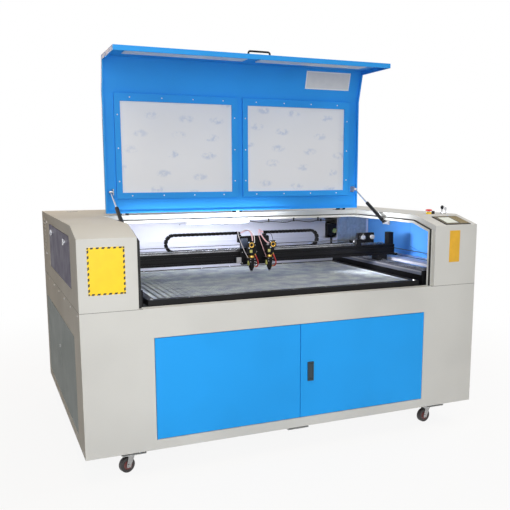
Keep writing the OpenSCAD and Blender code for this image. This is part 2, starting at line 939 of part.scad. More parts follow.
module lid_handle() {
    x = cx - 8;
    z = z1 + 33;
    r = 4.5;
    reach = 17;
    color("black") opened() {
        for (s = [-1, 1])
            cyl_y(r, x + s * (handle_l / 2 - r), yf - reach, yf, z);
        cyl_x(r, x - handle_l / 2, x + handle_l / 2, yf - reach, z);
    }
}

module lid_fittings() {
    third = knuckle_l / 3;
    color("dimgray") for (x = hinge_xs)
        translate([0, hinge_y, hinge_z]) rotate([90, 0, 0]) mirror([0, 0, 1]) {
            hinge_leaf(x, [-knuckle_l / 2, third / 2], third, false);
            cyl_x(3, x - knuckle_l / 2, x + knuckle_l / 2, 0, 0);
        }
    color("silver") for (s = [-1, 1]) {
        edge = s < 0 ? oxl : oxr;
        in1 = edge - s * (strut_in + eye_in + 2);
        in2 = edge - s * (strut_in + eye_in + 5);
        tip = edge - s * (strut_in - eye_out);
        skin_y = hinge_y - hinge_rise - sheet;
        box([min(in1, in2), strut_top_y - 9, strut_top_z - 14],
            [max(in1, in2), skin_y, strut_top_z + 14]);
        cyl_x(stud_r, min(in1, tip), max(in1, tip), strut_top_y, strut_top_z);
    }
}

// Draws along the strut, from the lid stud towards the pod bracket
module along_strut(x) {
    translate([x, strut_top_y, strut_top_z]) rotate([strut_a, 0, 0]) children();
}

module strut_rods() {
    color("silver") for (s = [-1, 1])
        along_strut((s < 0 ? oxl : oxr) - s * strut_in) difference() {
            union() {
                cyl_x(eye_r, -eye_in, eye_in, 0, 0);
                cyl_y(rod_r, 0, 0, strut_len - strut_stroke - 28, 0);
            }
            cyl_x(stud_r + pin_fit, -eye_in - 1, eye_in + 1, 0, 0);
        }
}

module strut_tubes() {
    start = strut_len - tube_len;
    color("black") for (s = [-1, 1])
        along_strut((s < 0 ? oxl : oxr) - s * strut_in) {
            difference() {
                cyl_y(strut_r, 0, start, strut_len - 14, 0);
                cyl_y(rod_r + pin_fit, 0, start - 1, strut_len - 25, 0);
            }
            cyl_y(3.5, 0, strut_len - 15, strut_len, 0);
            cyl_x(eye_r, s > 0 ? -eye_in : -eye_out, s > 0 ? eye_out : eye_in, strut_len, 0);
        }
}

// ---- doors ----

// A folded door, drawn from its hinge edge at x = 0, its face at y = 0
module door_tray(w, h) {
    boss = 14;
    difference() {
        cube([w, door_t, h]);
        translate([sheet, sheet, sheet]) cube([w - 2 * sheet, door_t, h - 2 * sheet]);
    }
    for (z = [sheet, h - sheet - boss])
        translate([sheet, sheet, z]) cube([boss, door_t - sheet, boss]);
    for (z = [[-door_gap - sheet, sheet], [h - sheet, h + door_gap + sheet]])
        cyl_z(pivot_r, pivot_in, pivot_in, z[0], z[1]);
}

module door_left() {
    color("dodgerblue") translate([-door_seam / 2 - door_w, yf, z0 + door_low])
        door_tray(door_w, door_h);
}

// Plate round the lever, proud of the right door
module lever_plate() {
    depth = 7;
    difference() {
        box([lever_x - 14, yf - depth, lever_z - lever_l - 9], [lever_x + 14, yf, lever_z + 10]);
        box([lever_x - lever_w / 2 - 0.6, yf - depth - 1, lever_z - lever_l],
            [lever_x + lever_w / 2 + 0.6, yf - 0.8, lever_z + 4]);
        cyl_x(pin_fit + 1.5, lever_x - 12, lever_x + 12, yf - 4, lever_z);
    }
}

module door_right() {
    color("dodgerblue") translate([door_seam / 2 + door_w, yf, z0 + door_low]) mirror([1, 0, 0])
        door_tray(door_w, door_h);
    color("silver") lever_plate();
}

module door_lever() {
    color("dimgray") {
        box([lever_x - lever_w / 2, yf - 6.5, lever_z - lever_l + 2],
            [lever_x + lever_w / 2, yf - 2.5, lever_z]);
        cyl_x(2.4, lever_x - lever_w / 2, lever_x + lever_w / 2, yf - 4, lever_z);
        cyl_x(1.5, lever_x - 11.5, lever_x + 11.5, yf - 4, lever_z);
    }
}

module side_door() {
    color("slategray")
        translate([xl, side_door_y + side_door_w, z0 + door_low]) rotate([0, 0, -90])
            difference() {
                door_tray(side_door_w, side_door_h);
                translate([side_door_w / 2 - 3, -1, 142]) cube([10, 6, 93]);
            }
}

module side_hatch() {
    z = hatch_z + hatch_h - latch_drop;
    color("darkslateblue") difference() {
        union() {
            across(xl, xl + hatch_t) hatch_outline(0);
            for (y = [[hatch_y - hatch_gap - sheet, hatch_y + 3],
                [hatch_y + hatch_w - 3, hatch_y + hatch_w + hatch_gap + sheet]])
                cyl_y(hatch_pin_r, xl + hatch_pivot, y[0], y[1], hatch_z + hatch_pivot);
        }
        for (y = [latch_front_y, latch_rear_y])
            cyl_x(4 + pin_fit, xl - 1, xl + hatch_t + 1, y, z);
    }
}

// Quarter-turn latch, unlocked, with its cam lying level behind the hatch
module hatch_latch(y) {
    z = hatch_z + hatch_h - latch_drop;
    cam = xl + hatch_rim + 1;
    color("silver") {
        cyl_x(4, xl - 4, cam + 3, y, z);
        cyl_x(12, xl - 3, xl, y, z);
        box([xl - 9, y - 4, z - 14], [xl - 3, y + 4, z + 14]);
        box([cam, y - 8, z - 8], [cam + 3, y + 43, z + 8]);
    }
}

module hatch_latch_front() {
    hatch_latch(latch_front_y);
}

module hatch_latch_rear() {
    hatch_latch(latch_rear_y);
}

// ---- gantry ----

module gantry_beam() {
    color("black") difference() {
        box([cx - beam_half, beam_y, beam_z], [cx + beam_half, beam_y + beam_d, beam_top]);
        box([cx - beam_half - 1, beam_y + beam_wall, beam_z + beam_wall],
            [cx + beam_half + 1, beam_y + beam_d - beam_wall, beam_top - beam_wall]);
    }
    color("silver")
        box([cx - beam_half + 60, x_rail_y, beam_top],
            [cx + beam_half - 60, x_rail_y + x_rail_w, beam_top + x_rail_h]);
}

// Bearing blocks on the guide rails, belt tensioner, beam motor and beam mirror
module gantry_fittings() {
    motor_x = cx + beam_half - 205;
    block_half = 26;
    block_over = 8;
    top = beam_top + 62;
    color("dimgray") {
        mirrored(cx) difference() {
            box([cx + rail_x - block_half, beam_y - block_over, guide_top + 4],
                [cx + rail_x + block_half, beam_y + beam_d + block_over, beam_z]);
            box([cx + rail_x - rail_w / 2 - rail_fit, beam_y - block_over - 1, guide_top],
                [cx + rail_x + rail_w / 2 + rail_fit, beam_y + beam_d + block_over + 1,
                    guide_top + rail_h + rail_fit]);
        }
        box([cx + beam_half - 32, beam_y + 6, beam_top], [cx + beam_half - 4, beam_y + 46, top]);
        box([cx - beam_half + 2, beam_y - 3, beam_top],
            [cx - beam_half + 58, beam_y + 53, top - 2]);
        box([motor_x, x_rail_y + x_rail_w + 2, beam_top], [motor_x + 98, beam_y + beam_d, top]);
    }
    color("silver") for (dx = [28, 84])
        cyl_y(11, motor_x + dx, x_rail_y + x_rail_w - 10, x_rail_y + x_rail_w + 2, top - 22);
}

module carriage() {
    rail_top = beam_top + x_rail_h;
    truck_half = 60;
    arm_z = beam_top + 40;
    color("black") {
        difference() {
            box([head_x - truck_half, plate_y, beam_top + 4],
                [head_x + truck_half, x_rail_y + x_rail_w + 3, rail_top + 12]);
            box([head_x - truck_half - 1, x_rail_y - rail_fit, beam_top],
                [head_x + truck_half + 1, x_rail_y + x_rail_w + rail_fit, rail_top + rail_fit]);
        }
        box([head_x - 105, plate_y, beam_z - 8], [head_x + 78, beam_y - 6, beam_top + 75]);
        box([head_x - arm_half, plate_y, arm_z],
            [head_x + arm_half, chain_y + chain_w, arm_z + 6]);
        for (x = [head_x - arm_half, head_x + arm_half - 16])
            box([x, chain_y, arm_z], [x + 16, chain_y + chain_w, chain_top - chain_t / 2]);
    }
    color("silver")
        box([head_x - 103, plate_y - 12, beam_z + 2], [head_x - 80, plate_y, beam_z + 30]);
}

// One laser head, with its mirror box, lens tube and nozzle at x
module head(x, side) {
    color("black") {
        box([x - 17, nozzle_y - 17, z1 + 108], [x + 17, plate_y, z1 + 128]);
        cyl_z(13, x, nozzle_y, z1 + 82, z1 + 150);
        translate([x, nozzle_y, nozzle_z]) cylinder(r1 = 3, r2 = 12, h = 20);
        box([x - 19, nozzle_y - 17, z1 + 149], [x + 19, nozzle_y + 17, z1 + 187]);
    }
    color("gold") {
        cyl_y(13, x + side, nozzle_y - 25, nozzle_y - 17, z1 + 168);
        cyl_z(15, x, nozzle_y, z1 + 130, z1 + 140);
        cyl_x(3, x + 12, x + hose_end, nozzle_y, z1 + 86);
    }
}

module laser_heads() {
    head(head_x - head_gap / 2, 0);
    head(head_x + head_gap / 2, 4);
}

// Air hose of one head, from its mirror box to its nozzle
hose_r = 3;
hose_end = 18;
air_route = [[15, -10, 149], [16, -11, 143], [19, -13, 134], [24, -14, 122], [28, -14, 110],
    [29, -12, 99], [28, -6, 90], [24, -1, 86], [hose_end, 0, 86]];
// Hose from the end of the left chain to the left head; the right one mirrors it
feed_route = [[0, 0, 0], [12, -2, 3], [26, -9, 11], [36, -27, 13], [38, -52, 0], [34, -77, -20],
    [26, -99, -37], [17, -108, -44], [16, -110, -51]];

module head_hoses() {
    for (x = [head_x - head_gap / 2, head_x + head_gap / 2])
        color("red") translate([x, nozzle_y, z1])
            swept(smooth_route(air_route, 2), hose_r, [0, 0, -1], [-1, 0, 0]);
    color("pink") mirrored(head_x)
        translate([head_x - chain_anchor, chain_y + chain_w / 2, chain_top])
            swept(smooth_route(feed_route, 2), hose_r, [1, 0, 0], [0, 0, -1]);
}

// ---- drag chains, lying on the beam behind the rail ----
chain_low = beam_top + chain_t / 2;
chain_top = chain_low + 2 * chain_r;
chain_fixed = 40;

module chain_run(x1, x2, z) {
    box([min(x1, x2), chain_y, z - chain_t / 2], [max(x1, x2), chain_y + chain_w, z + chain_t / 2]);
}

module chain_strands() {
    color("black") {
        chain_run(chain_left_x, head_x - chain_anchor, chain_top);
        chain_run(chain_left_x, head_x - chain_fixed, chain_low);
        chain_run(chain_right_x, head_x + chain_anchor, chain_top);
        chain_run(chain_right_x, head_x + chain_fixed, chain_low);
    }
}

module chain_bend(x, side) {
    mid = chain_low + chain_r;
    translate([x, chain_y, mid]) rotate([-90, 0, 0]) intersection() {
        difference() {
            cylinder(r = chain_r + chain_t / 2, h = chain_w);
            translate([0, 0, -1]) cylinder(r = chain_r - chain_t / 2, h = chain_w + 2);
        }
        translate([side < 0 ? -chain_r * 2 : 0, -chain_r * 2, -1])
            cube([chain_r * 2, chain_r * 4, chain_w + 2]);
    }
}

module chain_bends() {
    color("black") {
        chain_bend(chain_left_x, -1);
        chain_bend(chain_right_x, 1);
    }
}

// ---- casters ----
caster_places = [[-skid_x, -caster_y], [skid_x, -caster_y], [-skid_x, caster_y],
    [skid_x, caster_y]];

module at_caster(i) {
    translate([caster_places[i].x, caster_places[i].y, 0]) rotate([0, 0, caster_turn[i]])
        children();
}

module caster_fork(i) {
    top = z0 - skid_h - plate_t - 0.5;
    half = wheel_w / 2 + 1.5;
    color("silver") at_caster(i) {
        cyl_z(stem_r, 0, 0, top - 2, top + plate_t + 3);
        cyl_z(22, 0, 0, top - 3, top);
        for (s = [-1, 1])
            across_y(s < 0 ? -half - sheet : half, sheet)
                polygon([[-14, top - 3], [18, top - 3], [trail + 10, wheel_d / 2 - 4],
                    [trail + 6, wheel_d / 2 - 10], [trail - 8, wheel_d / 2 - 10]]);
        box([-14, -half - sheet, top - 5], [18, half + sheet, top - 2]);
        cyl_y(axle_r, trail, -half - sheet - 3, half + sheet + 3, wheel_d / 2);
    }
}

// A shape drawn on the XZ plane, t thick from y
module across_y(y, t) {
    translate([0, y + t, 0]) rotate([90, 0, 0]) linear_extrude(t) children();
}

module caster_wheel(i) {
    color("gray") at_caster(i) difference() {
        cyl_y(wheel_d / 2, trail, -wheel_w / 2, wheel_w / 2, wheel_d / 2);
        cyl_y(axle_r + pin_fit, trail, -wheel_w, wheel_w, wheel_d / 2);
    }
}

// ---- placement ----
base_frame();
skids();
front_panel();
left_side_panel();
right_side_panel();
rear_panel();
floor_panel();
left_pod();
right_pod();
rear_deck();
side_liners();
rear_bulkhead();
work_deck();
lid_gasket();
bed_frame();
honeycomb();
guide_beams();
guide_rails();
drive_shaft();
laser_tubes();
rear_mirror();
electronics();
exhaust_collars();
lamp();
lamp_cable();
control_panel();
switch_housings();
deck_fittings();
lid_shell();
window_frames();
window_sheets();
lid_handle();
lid_fittings();
strut_rods();
strut_tubes();
door_left();
door_right();
door_lever();
side_door();
side_hatch();
hatch_latch_front();
hatch_latch_rear();
gantry_beam();
gantry_fittings();
carriage();
laser_heads();
head_hoses();
chain_strands();
chain_bends();
stop_button();
key();
start_button();
caster_fork(0);  // caster_fork_1
caster_fork(1);  // caster_fork_2
caster_fork(2);  // caster_fork_3
caster_fork(3);  // caster_fork_4
caster_wheel(0);  // caster_wheel_1
caster_wheel(1);  // caster_wheel_2
caster_wheel(2);  // caster_wheel_3
caster_wheel(3);  // caster_wheel_4
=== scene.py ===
import json
import math
from itertools import product
import bmesh
import bpy
from mathutils import Matrix, Vector


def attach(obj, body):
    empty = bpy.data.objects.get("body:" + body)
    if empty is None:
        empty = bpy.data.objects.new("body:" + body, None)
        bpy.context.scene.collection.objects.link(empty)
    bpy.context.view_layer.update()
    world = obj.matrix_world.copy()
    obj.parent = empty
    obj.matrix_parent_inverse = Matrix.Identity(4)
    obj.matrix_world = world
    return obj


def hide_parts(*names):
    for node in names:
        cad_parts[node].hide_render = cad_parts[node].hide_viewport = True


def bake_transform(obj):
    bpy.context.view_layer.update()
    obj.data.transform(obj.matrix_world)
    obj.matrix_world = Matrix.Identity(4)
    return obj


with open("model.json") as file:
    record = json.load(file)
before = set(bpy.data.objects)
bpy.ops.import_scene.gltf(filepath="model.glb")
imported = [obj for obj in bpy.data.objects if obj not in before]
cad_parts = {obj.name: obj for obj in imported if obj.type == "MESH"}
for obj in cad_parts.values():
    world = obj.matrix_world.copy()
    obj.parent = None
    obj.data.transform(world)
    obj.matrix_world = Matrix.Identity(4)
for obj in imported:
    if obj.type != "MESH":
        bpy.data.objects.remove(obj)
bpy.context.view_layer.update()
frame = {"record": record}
bodyOf = {n: b for b, members in frame["record"]["behaviour"]["bodies"].items() for n in members}
mm = 0.001
print("frame loaded with", len(bodyOf), "nodes")

# Main lines of the machine in millimetres, as in the part's source
leftX, rightX = -925, 925
frontY, backY = -657, 657
seamZ, slopeZ, topZ = 687, 969, 1010
slopeY, bulkheadY = -502, 288
openLeft, openRight, midX = -698, 689, -4.5
hingeY, hingeZ = 68, 1018.5
slopeAngle = math.degrees(math.atan2(topZ - slopeZ, slopeY - frontY))
headX, nozzleY = -27.5, -273
beamY, beamZ, beamTop, beamHalf = -207, 785, 840, 770

# camera, lights and floor
view = {
    "place": (-1.2602, -3.2445, 1.2083),
    "turn": -23.02,      # degrees from looking along +Y, towards +X
    "tilt": -9.06,
    "roll": 0.13,
    "lens": 48.19,
    "shift": (-0.0216, 0.0537),
}
studio = {
    "worldColour": (1.0, 0.92, 0.86, 1),
    "worldStrength": 0.17,
    "floorColour": (0.62, 0.60, 0.57, 1),
    "floorSize": 20,
    "floorWhite": (0.9, 1.0),      # share of plain white close to the machine and far from it
    "floorFade": (1.3, 3.2),       # metres from the middle
}
lights = {      # place, aim, width and height, watts, colour, spread in degrees
    "frontKey": ((-1.25, -4.2, 1.7), (0.0, -0.5, 0.75), (2.2, 2.2), 99, (0.95, 0.975, 1.0), 180),
    "topFill": ((-1.0, -1.6, 3.6), (0.1, -0.2, 0.9), (2.0, 2.0), 38, (1.0, 0.86, 0.64), 180),
    "warmFill": ((-1.15, 1.9, 2.0), (-0.8, 0.2, 1.0), (0.8, 0.8), 11, (1.0, 0.6, 0.24), 180),
    "rightFill": ((3.3, -0.2, 3.2), (0.85, 0.0, 0.9), (2.0, 2.0), 80, (1.0, 0.98, 0.95), 180),
    "rearFill": ((0.8, 4.2, 2.4), (0.0, 0.3, 0.6), (3.0, 3.0), 62, (1.0, 1.0, 1.0), 180),
    "chamberFill": ((-0.2, -0.1, 0.965), (-0.2, 0.288, 0.85), (0.8, 0.04), 1.75, (0.97, 0.97, 1.0), 120),
    "linerFill": ((0.2, -0.36, 0.955), (0.9, -0.15, 0.85), (0.2, 0.06), 1.2, (0.97, 0.98, 1.0), 80),
}


def newObject(name, data):
    made = bpy.data.objects.new(name, data)
    bpy.context.scene.collection.objects.link(made)
    return made


def setInputs(node, values):
    for key, value in values.items():
        node.inputs[key].default_value = value
    return node


def makeCamera():
    camData = bpy.data.cameras.new("viewCamera")
    camData.lens = view["lens"]
    camData.sensor_width = 36
    camData.shift_x, camData.shift_y = view["shift"]
    camData.clip_end = 60
    cam = newObject("viewCamera", camData)
    cam.location = view["place"]
    cam.rotation_euler = [math.radians(a) for a in (90 + view["tilt"], view["roll"], view["turn"])]
    bpy.context.scene.camera = cam


def makeLight(name):
    place, aim, size, watts, colour, spread = lights[name]
    lampData = bpy.data.lights.new(name, "AREA")
    lampData.shape = "RECTANGLE"
    lampData.size, lampData.size_y = size
    lampData.spread = math.radians(spread)
    lampData.energy = watts
    lampData.color = colour
    lamp = newObject(name, lampData)
    lamp.visible_camera = False
    lamp.location = place
    lamp.rotation_euler = (Vector(aim) - Vector(place)).to_track_quat("-Z", "Y").to_euler()


def mathNode(tree, operation, first, second):
    node = tree.nodes.new("ShaderNodeMath")
    node.operation = operation
    for i, value in enumerate((first, second)):
        if isinstance(value, (int, float)):
            node.inputs[i].default_value = value
        else:
            tree.links.new(value, node.inputs[i])
    return node.outputs[0]


def mapRange(tree, source, low, high, fromLow, fromHigh):
    node = tree.nodes.new("ShaderNodeMapRange")
    setInputs(node, {"From Min": fromLow, "From Max": fromHigh, "To Min": low, "To Max": high})
    tree.links.new(source, node.inputs["Value"])
    return node


def backgroundRays(tree):      # 1 where the background is seen directly, in a mirror or through glass
    path = tree.nodes.new("ShaderNodeLightPath")
    seen = mathNode(tree, "MAXIMUM", path.outputs["Is Camera Ray"], path.outputs["Is Glossy Ray"])
    return mathNode(tree, "MAXIMUM", seen, path.outputs["Is Transmission Ray"])


def mixShaders(tree, factor, lit, white, out):
    mix = tree.nodes.new("ShaderNodeMixShader")
    for source, socket in ((factor, mix.inputs["Fac"]), (lit.outputs[0], mix.inputs[1]),
                           (white.outputs[0], mix.inputs[2]), (mix.outputs[0], out.inputs["Surface"])):
        tree.links.new(source, socket)


def makeWorld():
    world = bpy.data.worlds.new("studio")
    bpy.context.scene.world = world
    world.use_nodes = True
    tree = world.node_tree
    tree.nodes.clear()
    lit, white = [tree.nodes.new("ShaderNodeBackground") for i in range(2)]
    setInputs(lit, {"Color": studio["worldColour"], "Strength": studio["worldStrength"]})
    setInputs(white, {"Color": (1, 1, 1, 1)})
    mixShaders(tree, backgroundRays(tree), lit, white, tree.nodes.new("ShaderNodeOutputWorld"))


def makeFloor():
    mesh = bpy.data.meshes.new("floor")
    bm = bmesh.new()
    bmesh.ops.create_grid(bm, x_segments=1, y_segments=1, size=studio["floorSize"])
    bm.to_mesh(mesh)
    bm.free()
    mat = bpy.data.materials.new("floorWhite")
    mat.use_nodes = True
    tree = mat.node_tree
    lit = setInputs(tree.nodes["Principled BSDF"],
                    {"Base Color": studio["floorColour"], "Roughness": 0.9})
    white = tree.nodes.new("ShaderNodeEmission")
    coords = tree.nodes.new("ShaderNodeTexCoord")
    distance = tree.nodes.new("ShaderNodeVectorMath")
    distance.operation = "LENGTH"
    tree.links.new(coords.outputs["Object"], distance.inputs[0])
    fade = mapRange(tree, distance.outputs["Value"], *studio["floorWhite"], *studio["floorFade"])
    fade.interpolation_type = "SMOOTHSTEP"
    share = mathNode(tree, "MULTIPLY", backgroundRays(tree), fade.outputs["Result"])
    mixShaders(tree, share, lit, white, tree.nodes["Material Output"])
    mesh.materials.append(mat)
    newObject("floor", mesh)


makeCamera()
makeWorld()
makeFloor()
for lightName in lights:
    makeLight(lightName)
bpy.context.scene.view_settings.view_transform = "Standard"
print("camera, lights and floor made")


# finishes; colours are written as they look on screen, 0 to 255
finishes = {}


def rgb(colour):
    return [((c / 255 + 0.055) / 1.055) ** 2.4 if c > 10 else c / 3294.6 for c in colour] + [1]


def shade(colour, factor):
    return [min(1, c * factor) for c in colour[:3]] + [1]


class Finish:
    def __init__(self, name, colour, rough, metal=0.0, specular=0.5, **more):
        mat = bpy.data.materials.new(name)
        mat.use_nodes = True
        self.tree, self.base = mat.node_tree, rgb(colour)
        self.shader = self.tree.nodes["Principled BSDF"]
        setInputs(self.shader, {"Base Color": self.base, "Roughness": rough, "Metallic": metal,
                                "Specular IOR Level": specular, **more})
        finishes[name] = mat

    def texture(self, kind, scale, stretch=(1, 1, 1), turn=(0, 0, 0), **more):
        coords = self.tree.nodes.new("ShaderNodeTexCoord")
        mapping = self.tree.nodes.new("ShaderNodeMapping")
        setInputs(mapping, {"Scale": [scale * s for s in stretch], "Rotation": turn})
        node = setInputs(self.tree.nodes.new("ShaderNodeTex" + kind), {"Scale": 1, **more})
        self.tree.links.new(coords.outputs["Object"], mapping.inputs["Vector"])
        self.tree.links.new(mapping.outputs["Vector"], node.inputs["Vector"])
        return node

    def noise(self, scale, detail=2, stretch=(1, 1, 1)):
        return self.texture("Noise", scale, stretch, Detail=detail).outputs["Fac"]

    def ranged(self, source, low=0, high=1, fromLow=0.35, fromHigh=0.65):
        return mapRange(self.tree, source, low, high, fromLow, fromHigh).outputs["Result"]

    def blend(self, factor, first, second):
        node = self.tree.nodes.new("ShaderNodeMix")
        node.data_type = "RGBA"
        self.tree.links.new(factor, node.inputs["Factor"])
        for socket, value in zip([s for s in node.inputs if s.type == "RGBA"], (first, second)):
            if isinstance(value, list):
                socket.default_value = value
            else:
                self.tree.links.new(value, socket)
        return [s for s in node.outputs if s.type == "RGBA"][0]

    def toned(self, factor, tone):      # a little darker and lighter than its colour, in clouds
        return self.blend(factor, shade(self.base, 1 - tone), shade(self.base, 1 + tone))

    def times(self, first, second):
        return mathNode(self.tree, "MULTIPLY", first, second)

    def close(self, colour, rough, *bumps, colourSocket="Base Color"):      # bumps: height and depth
        self.tree.links.new(colour, self.shader.inputs[colourSocket])
        if rough:
            self.tree.links.new(rough, self.shader.inputs["Roughness"])
        normal = None
        for height, depth in bumps:
            node = setInputs(self.tree.nodes.new("ShaderNodeBump"), {"Distance": depth})
            self.tree.links.new(height, node.inputs["Height"])
            if normal:
                self.tree.links.new(normal, node.inputs["Normal"])
            normal = node.outputs["Normal"]
        self.tree.links.new(normal, self.shader.inputs["Normal"])


# Powder coat: fine orange peel, slow waves of the sheet, faint tone, rubbed edges
powder = {"clouds": 2.3, "specks": 420, "chips": 60, "wear": 0.5, "smudges": 9, "waves": (3.5, 0.0005),
          "peel": (650, 0.00005)}


def paintFinish(name, colour, rough, specular=0.5, tone=0.05):
    made = Finish(name, colour, rough, specular=specular)
    toned = made.toned(made.ranged(made.noise(powder["clouds"])), tone)
    specks = made.ranged(made.noise(powder["specks"], 1), 0, 0.12, 0.55, 0.8)
    specked = made.blend(specks, toned, shade(made.base, 0.7))
    edge = made.tree.nodes.new("ShaderNodeAttribute")
    edge.attribute_name = "edgeWear"
    chips = made.ranged(made.noise(powder["chips"], 4), 0.15, 1, 0.45, 0.6)
    rubbed = made.times(made.times(edge.outputs["Fac"], chips), powder["wear"])
    made.close(made.blend(rubbed, specked, shade(made.base, 1.35)),
               made.ranged(made.noise(powder["smudges"], 4), rough - 0.05, rough + 0.08),
               *[(made.noise(scale, 1), depth) for scale, depth in (powder["waves"], powder["peel"])])


# Metal: brushed or rolled lines along one axis, cloudy roughness
def metalFinish(name, colour, rough, metal=1.0, specular=0.5, lines=(1, 1, 1), scale=500,
                depth=0.00003, tone=0.06):
    made = Finish(name, colour, rough, metal, specular)
    grain, cloud = made.noise(scale, 3, lines), made.noise(14, 3)
    toned = made.toned(made.ranged(cloud), tone)
    roughClouds = made.ranged(cloud, rough - 0.04, rough + 0.06)
    made.close(made.blend(made.ranged(grain, 0, 0.35), toned, shade(made.base, 0.8)),
               mathNode(made.tree, "ADD", made.ranged(grain, -0.04, 0.04), roughClouds), (grain, depth))


# Moulded plastic, rubber or glass: fine pitted skin
def plasticFinish(name, colour, rough, specular=0.5, pits=0.00004, scale=900, tone=0.06, clear=0.0):
    made = Finish(name, colour, rough, specular=specular, **{"Transmission Weight": clear})
    fine = made.noise(scale)
    made.close(made.toned(made.ranged(made.noise(25, 3)), tone),
               made.ranged(fine, rough - 0.04, rough + 0.06), (fine, pits))


# Zinc coat with spangles
def spangleFinish(name, colour, rough, scale):
    made = Finish(name, colour, rough, 0.85)
    tint = made.ranged(made.texture("Voronoi", scale).outputs["Color"], 0, 1, 0.1, 0.9)
    made.close(made.blend(tint, shade(made.base, 0.86), shade(made.base, 1.1)),
               made.ranged(tint, rough - 0.08, rough + 0.1, 0, 1), (made.noise(240, 3), 0.00004))


# Pale film left on the windows, with faint marks in loose rows and its own slight creases
film = {"colour": (225, 228, 234), "mark": (188, 200, 222), "rows": 5.4, "stretch": (1, 1, 2.1),
        "lean": (-math.pi / 2, 0, 0.2), "torn": 48, "creases": (6, 3, (1, 1, 3))}


def filmFinish(name):
    made = Finish(name, film["colour"], 0.4, specular=0.3)
    cells = made.texture("Voronoi", film["rows"], film["stretch"], film["lean"], Randomness=0.25)
    cells.voronoi_dimensions = "2D"
    torn = made.noise(film["torn"], 3)
    spots = made.times(made.ranged(cells.outputs["Distance"], 1, 0, 0.12, 0.24),
                       made.ranged(torn, 0, 0.8, 0.42, 0.6))
    marked = made.blend(spots, made.base, rgb(film["mark"]))
    cloud = made.ranged(made.noise(3), 0, 0.35)
    made.close(made.blend(cloud, marked, shade(made.base, 0.93)), made.ranged(torn, 0.34, 0.46),
               (made.noise(*film["creases"]), 0.0006))


def glowFinish(name, colour, strength):
    made = Finish(name, colour, 0.4, **{"Emission Strength": strength})
    cloud = made.ranged(made.noise(8, 1))
    made.close(made.blend(cloud, shade(made.base, 0.92), made.base), None, (made.noise(300), 0.00002),
               colourSocket="Emission Color")


paints = {      # colour, roughness, specular level, tone
    "bodyPaint": ((208, 209, 207), 0.6, 0.0),
    "lidPaint": ((50, 152, 234), 0.45, 0.12),
    "doorPaint": ((38, 162, 246), 0.4, 0.16),
    "linerPaint": ((86, 160, 246), 0.4, 0.3),
    "linerShade": ((44, 100, 180), 0.5, 0.2),
    "innerPaint": ((196, 199, 216), 0.4),
    # grey blue standing for the side door's blue paint in shade: painted shade
    "sideDoorPaint": ((138, 148, 150), 0.5, 0.04),
    "framePaint": ((70, 74, 78), 0.5),
    "blackPaint": ((21, 21, 23), 0.42, 0.2, 0.15),
}
metals = {      # colour, roughness, metal, specular level, direction of the lines, scale, depth, tone
    "blackAnodised": ((20, 20, 23), 0.42, 0.25, 0.2, (0.02, 1, 1), 900, 0.00003, 0.15),
    "groundSteel": ((198, 200, 205), 0.24, 1, 0.5, (0.03, 1, 1), 1200),
    "turnedSteel": ((196, 197, 200), 0.2, 1, 0.5, (1, 1, 1), 700),
    "chrome": ((222, 223, 226), 0.09, 1, 0.5, (1, 1, 1), 90, 0.00001, 0.02),
    "leverSteel": ((58, 72, 80), 0.34, 0.6, 0.5, (1, 1, 0.1), 300, 0.00001),
    "brass": ((212, 172, 88), 0.25, 1, 0.5, (1, 1, 0.1), 200, 0.000004, 0.04),
    "brassOlive": ((186, 184, 112), 0.32, 1, 0.5, (1, 1, 0.1), 200, 0.000004, 0.05),
    "combFoil": ((224, 234, 255), 0.42, 0, 0.5, (1, 1, 0.2), 120, 0.00008, 0.24),
    "beltCord": ((38, 38, 40), 0.7, 0),
    "satinSilver": ((172, 173, 178), 0.36, 0.5),
    # lilac grey that stands for painted light on the black guide beams, on their tops and inner sides
    "anodisedGrey": ((122, 125, 140), 0.36, 0.5, 0.5, (1, 0.03, 1)),
    "blueGrey": ((96, 108, 132), 0.35, 0.7, 0.5, (1, 0.05, 1), 700),
}
plastics = {      # colour, roughness, specular level, depth of the pits, scale, tone, clearness
    "sealRubber": ((18, 18, 19), 0.7),
    "blackPlastic": ((20, 20, 22), 0.45, 0.25),
    "chainPlastic": ((11, 11, 14), 0.55, 0.15),
    "handlePlastic": ((20, 20, 22), 0.4, 0.3),
    "stopRed": ((206, 30, 34), 0.3),
    "switchYellow": ((238, 200, 40), 0.42),
    "hoseRed": ((176, 44, 42), 0.32),
    "hosePink": ((238, 192, 200), 0.3, 0.5, 0.00004, 900, 0.06, 0.1),
    "wireWhite": ((236, 232, 236), 0.4),
    "lampWhite": ((236, 236, 236), 0.4),
    "treadGrey": ((54, 50, 50), 0.45, 0.5, 0.00008, 500),
    "hubMaroon": ((116, 66, 64), 0.35, 0.5, 0.00004, 400, 0.12),
    "plateYellow": ((252, 213, 20), 0.4, 0.5, 0.00002, 700, 0.03),
    "plateAmber": ((228, 176, 48), 0.4, 0.5, 0.00002, 700, 0.05),
    "plateWhite": ((226, 228, 230), 0.35, 0.5, 0.00002, 700, 0.02),
    "plateGrey": ((206, 208, 211), 0.4, 0.5, 0.00002, 700, 0.03),
    "plateBlack": ((20, 20, 20), 0.4),
    # dark purple grey standing for the hatch's blue paint in shade: painted shade
    "hatchAcrylic": ((64, 58, 84), 0.45, 0.06, 0.00001, 12, 0.08),
    "screenGlass": ((216, 222, 210), 0.12, 0.5, 0.00001, 60, 0.05),
    "keypadBronze": ((92, 80, 46), 0.4, 0.2),
    "keyTop": ((132, 116, 70), 0.4, 0.2),
    "laserGlass": ((205, 226, 232), 0.05, 0.5, 0.00001, 60, 0.03, 0.8),
}
spangles = {"zincPlate": ((178, 181, 184), 0.38, 90), "casterZinc": ((170, 170, 170), 0.3, 160)}
for table, makeFinish in ((paints, paintFinish), (metals, metalFinish), (plastics, plasticFinish),
                          (spangles, spangleFinish)):
    for finishName, look in table.items():
        makeFinish(finishName, *look)
filmFinish("windowFilm")
glowFinish("lampGlow", (236, 243, 255), 32.0)
print("finishes made:", len(finishes))


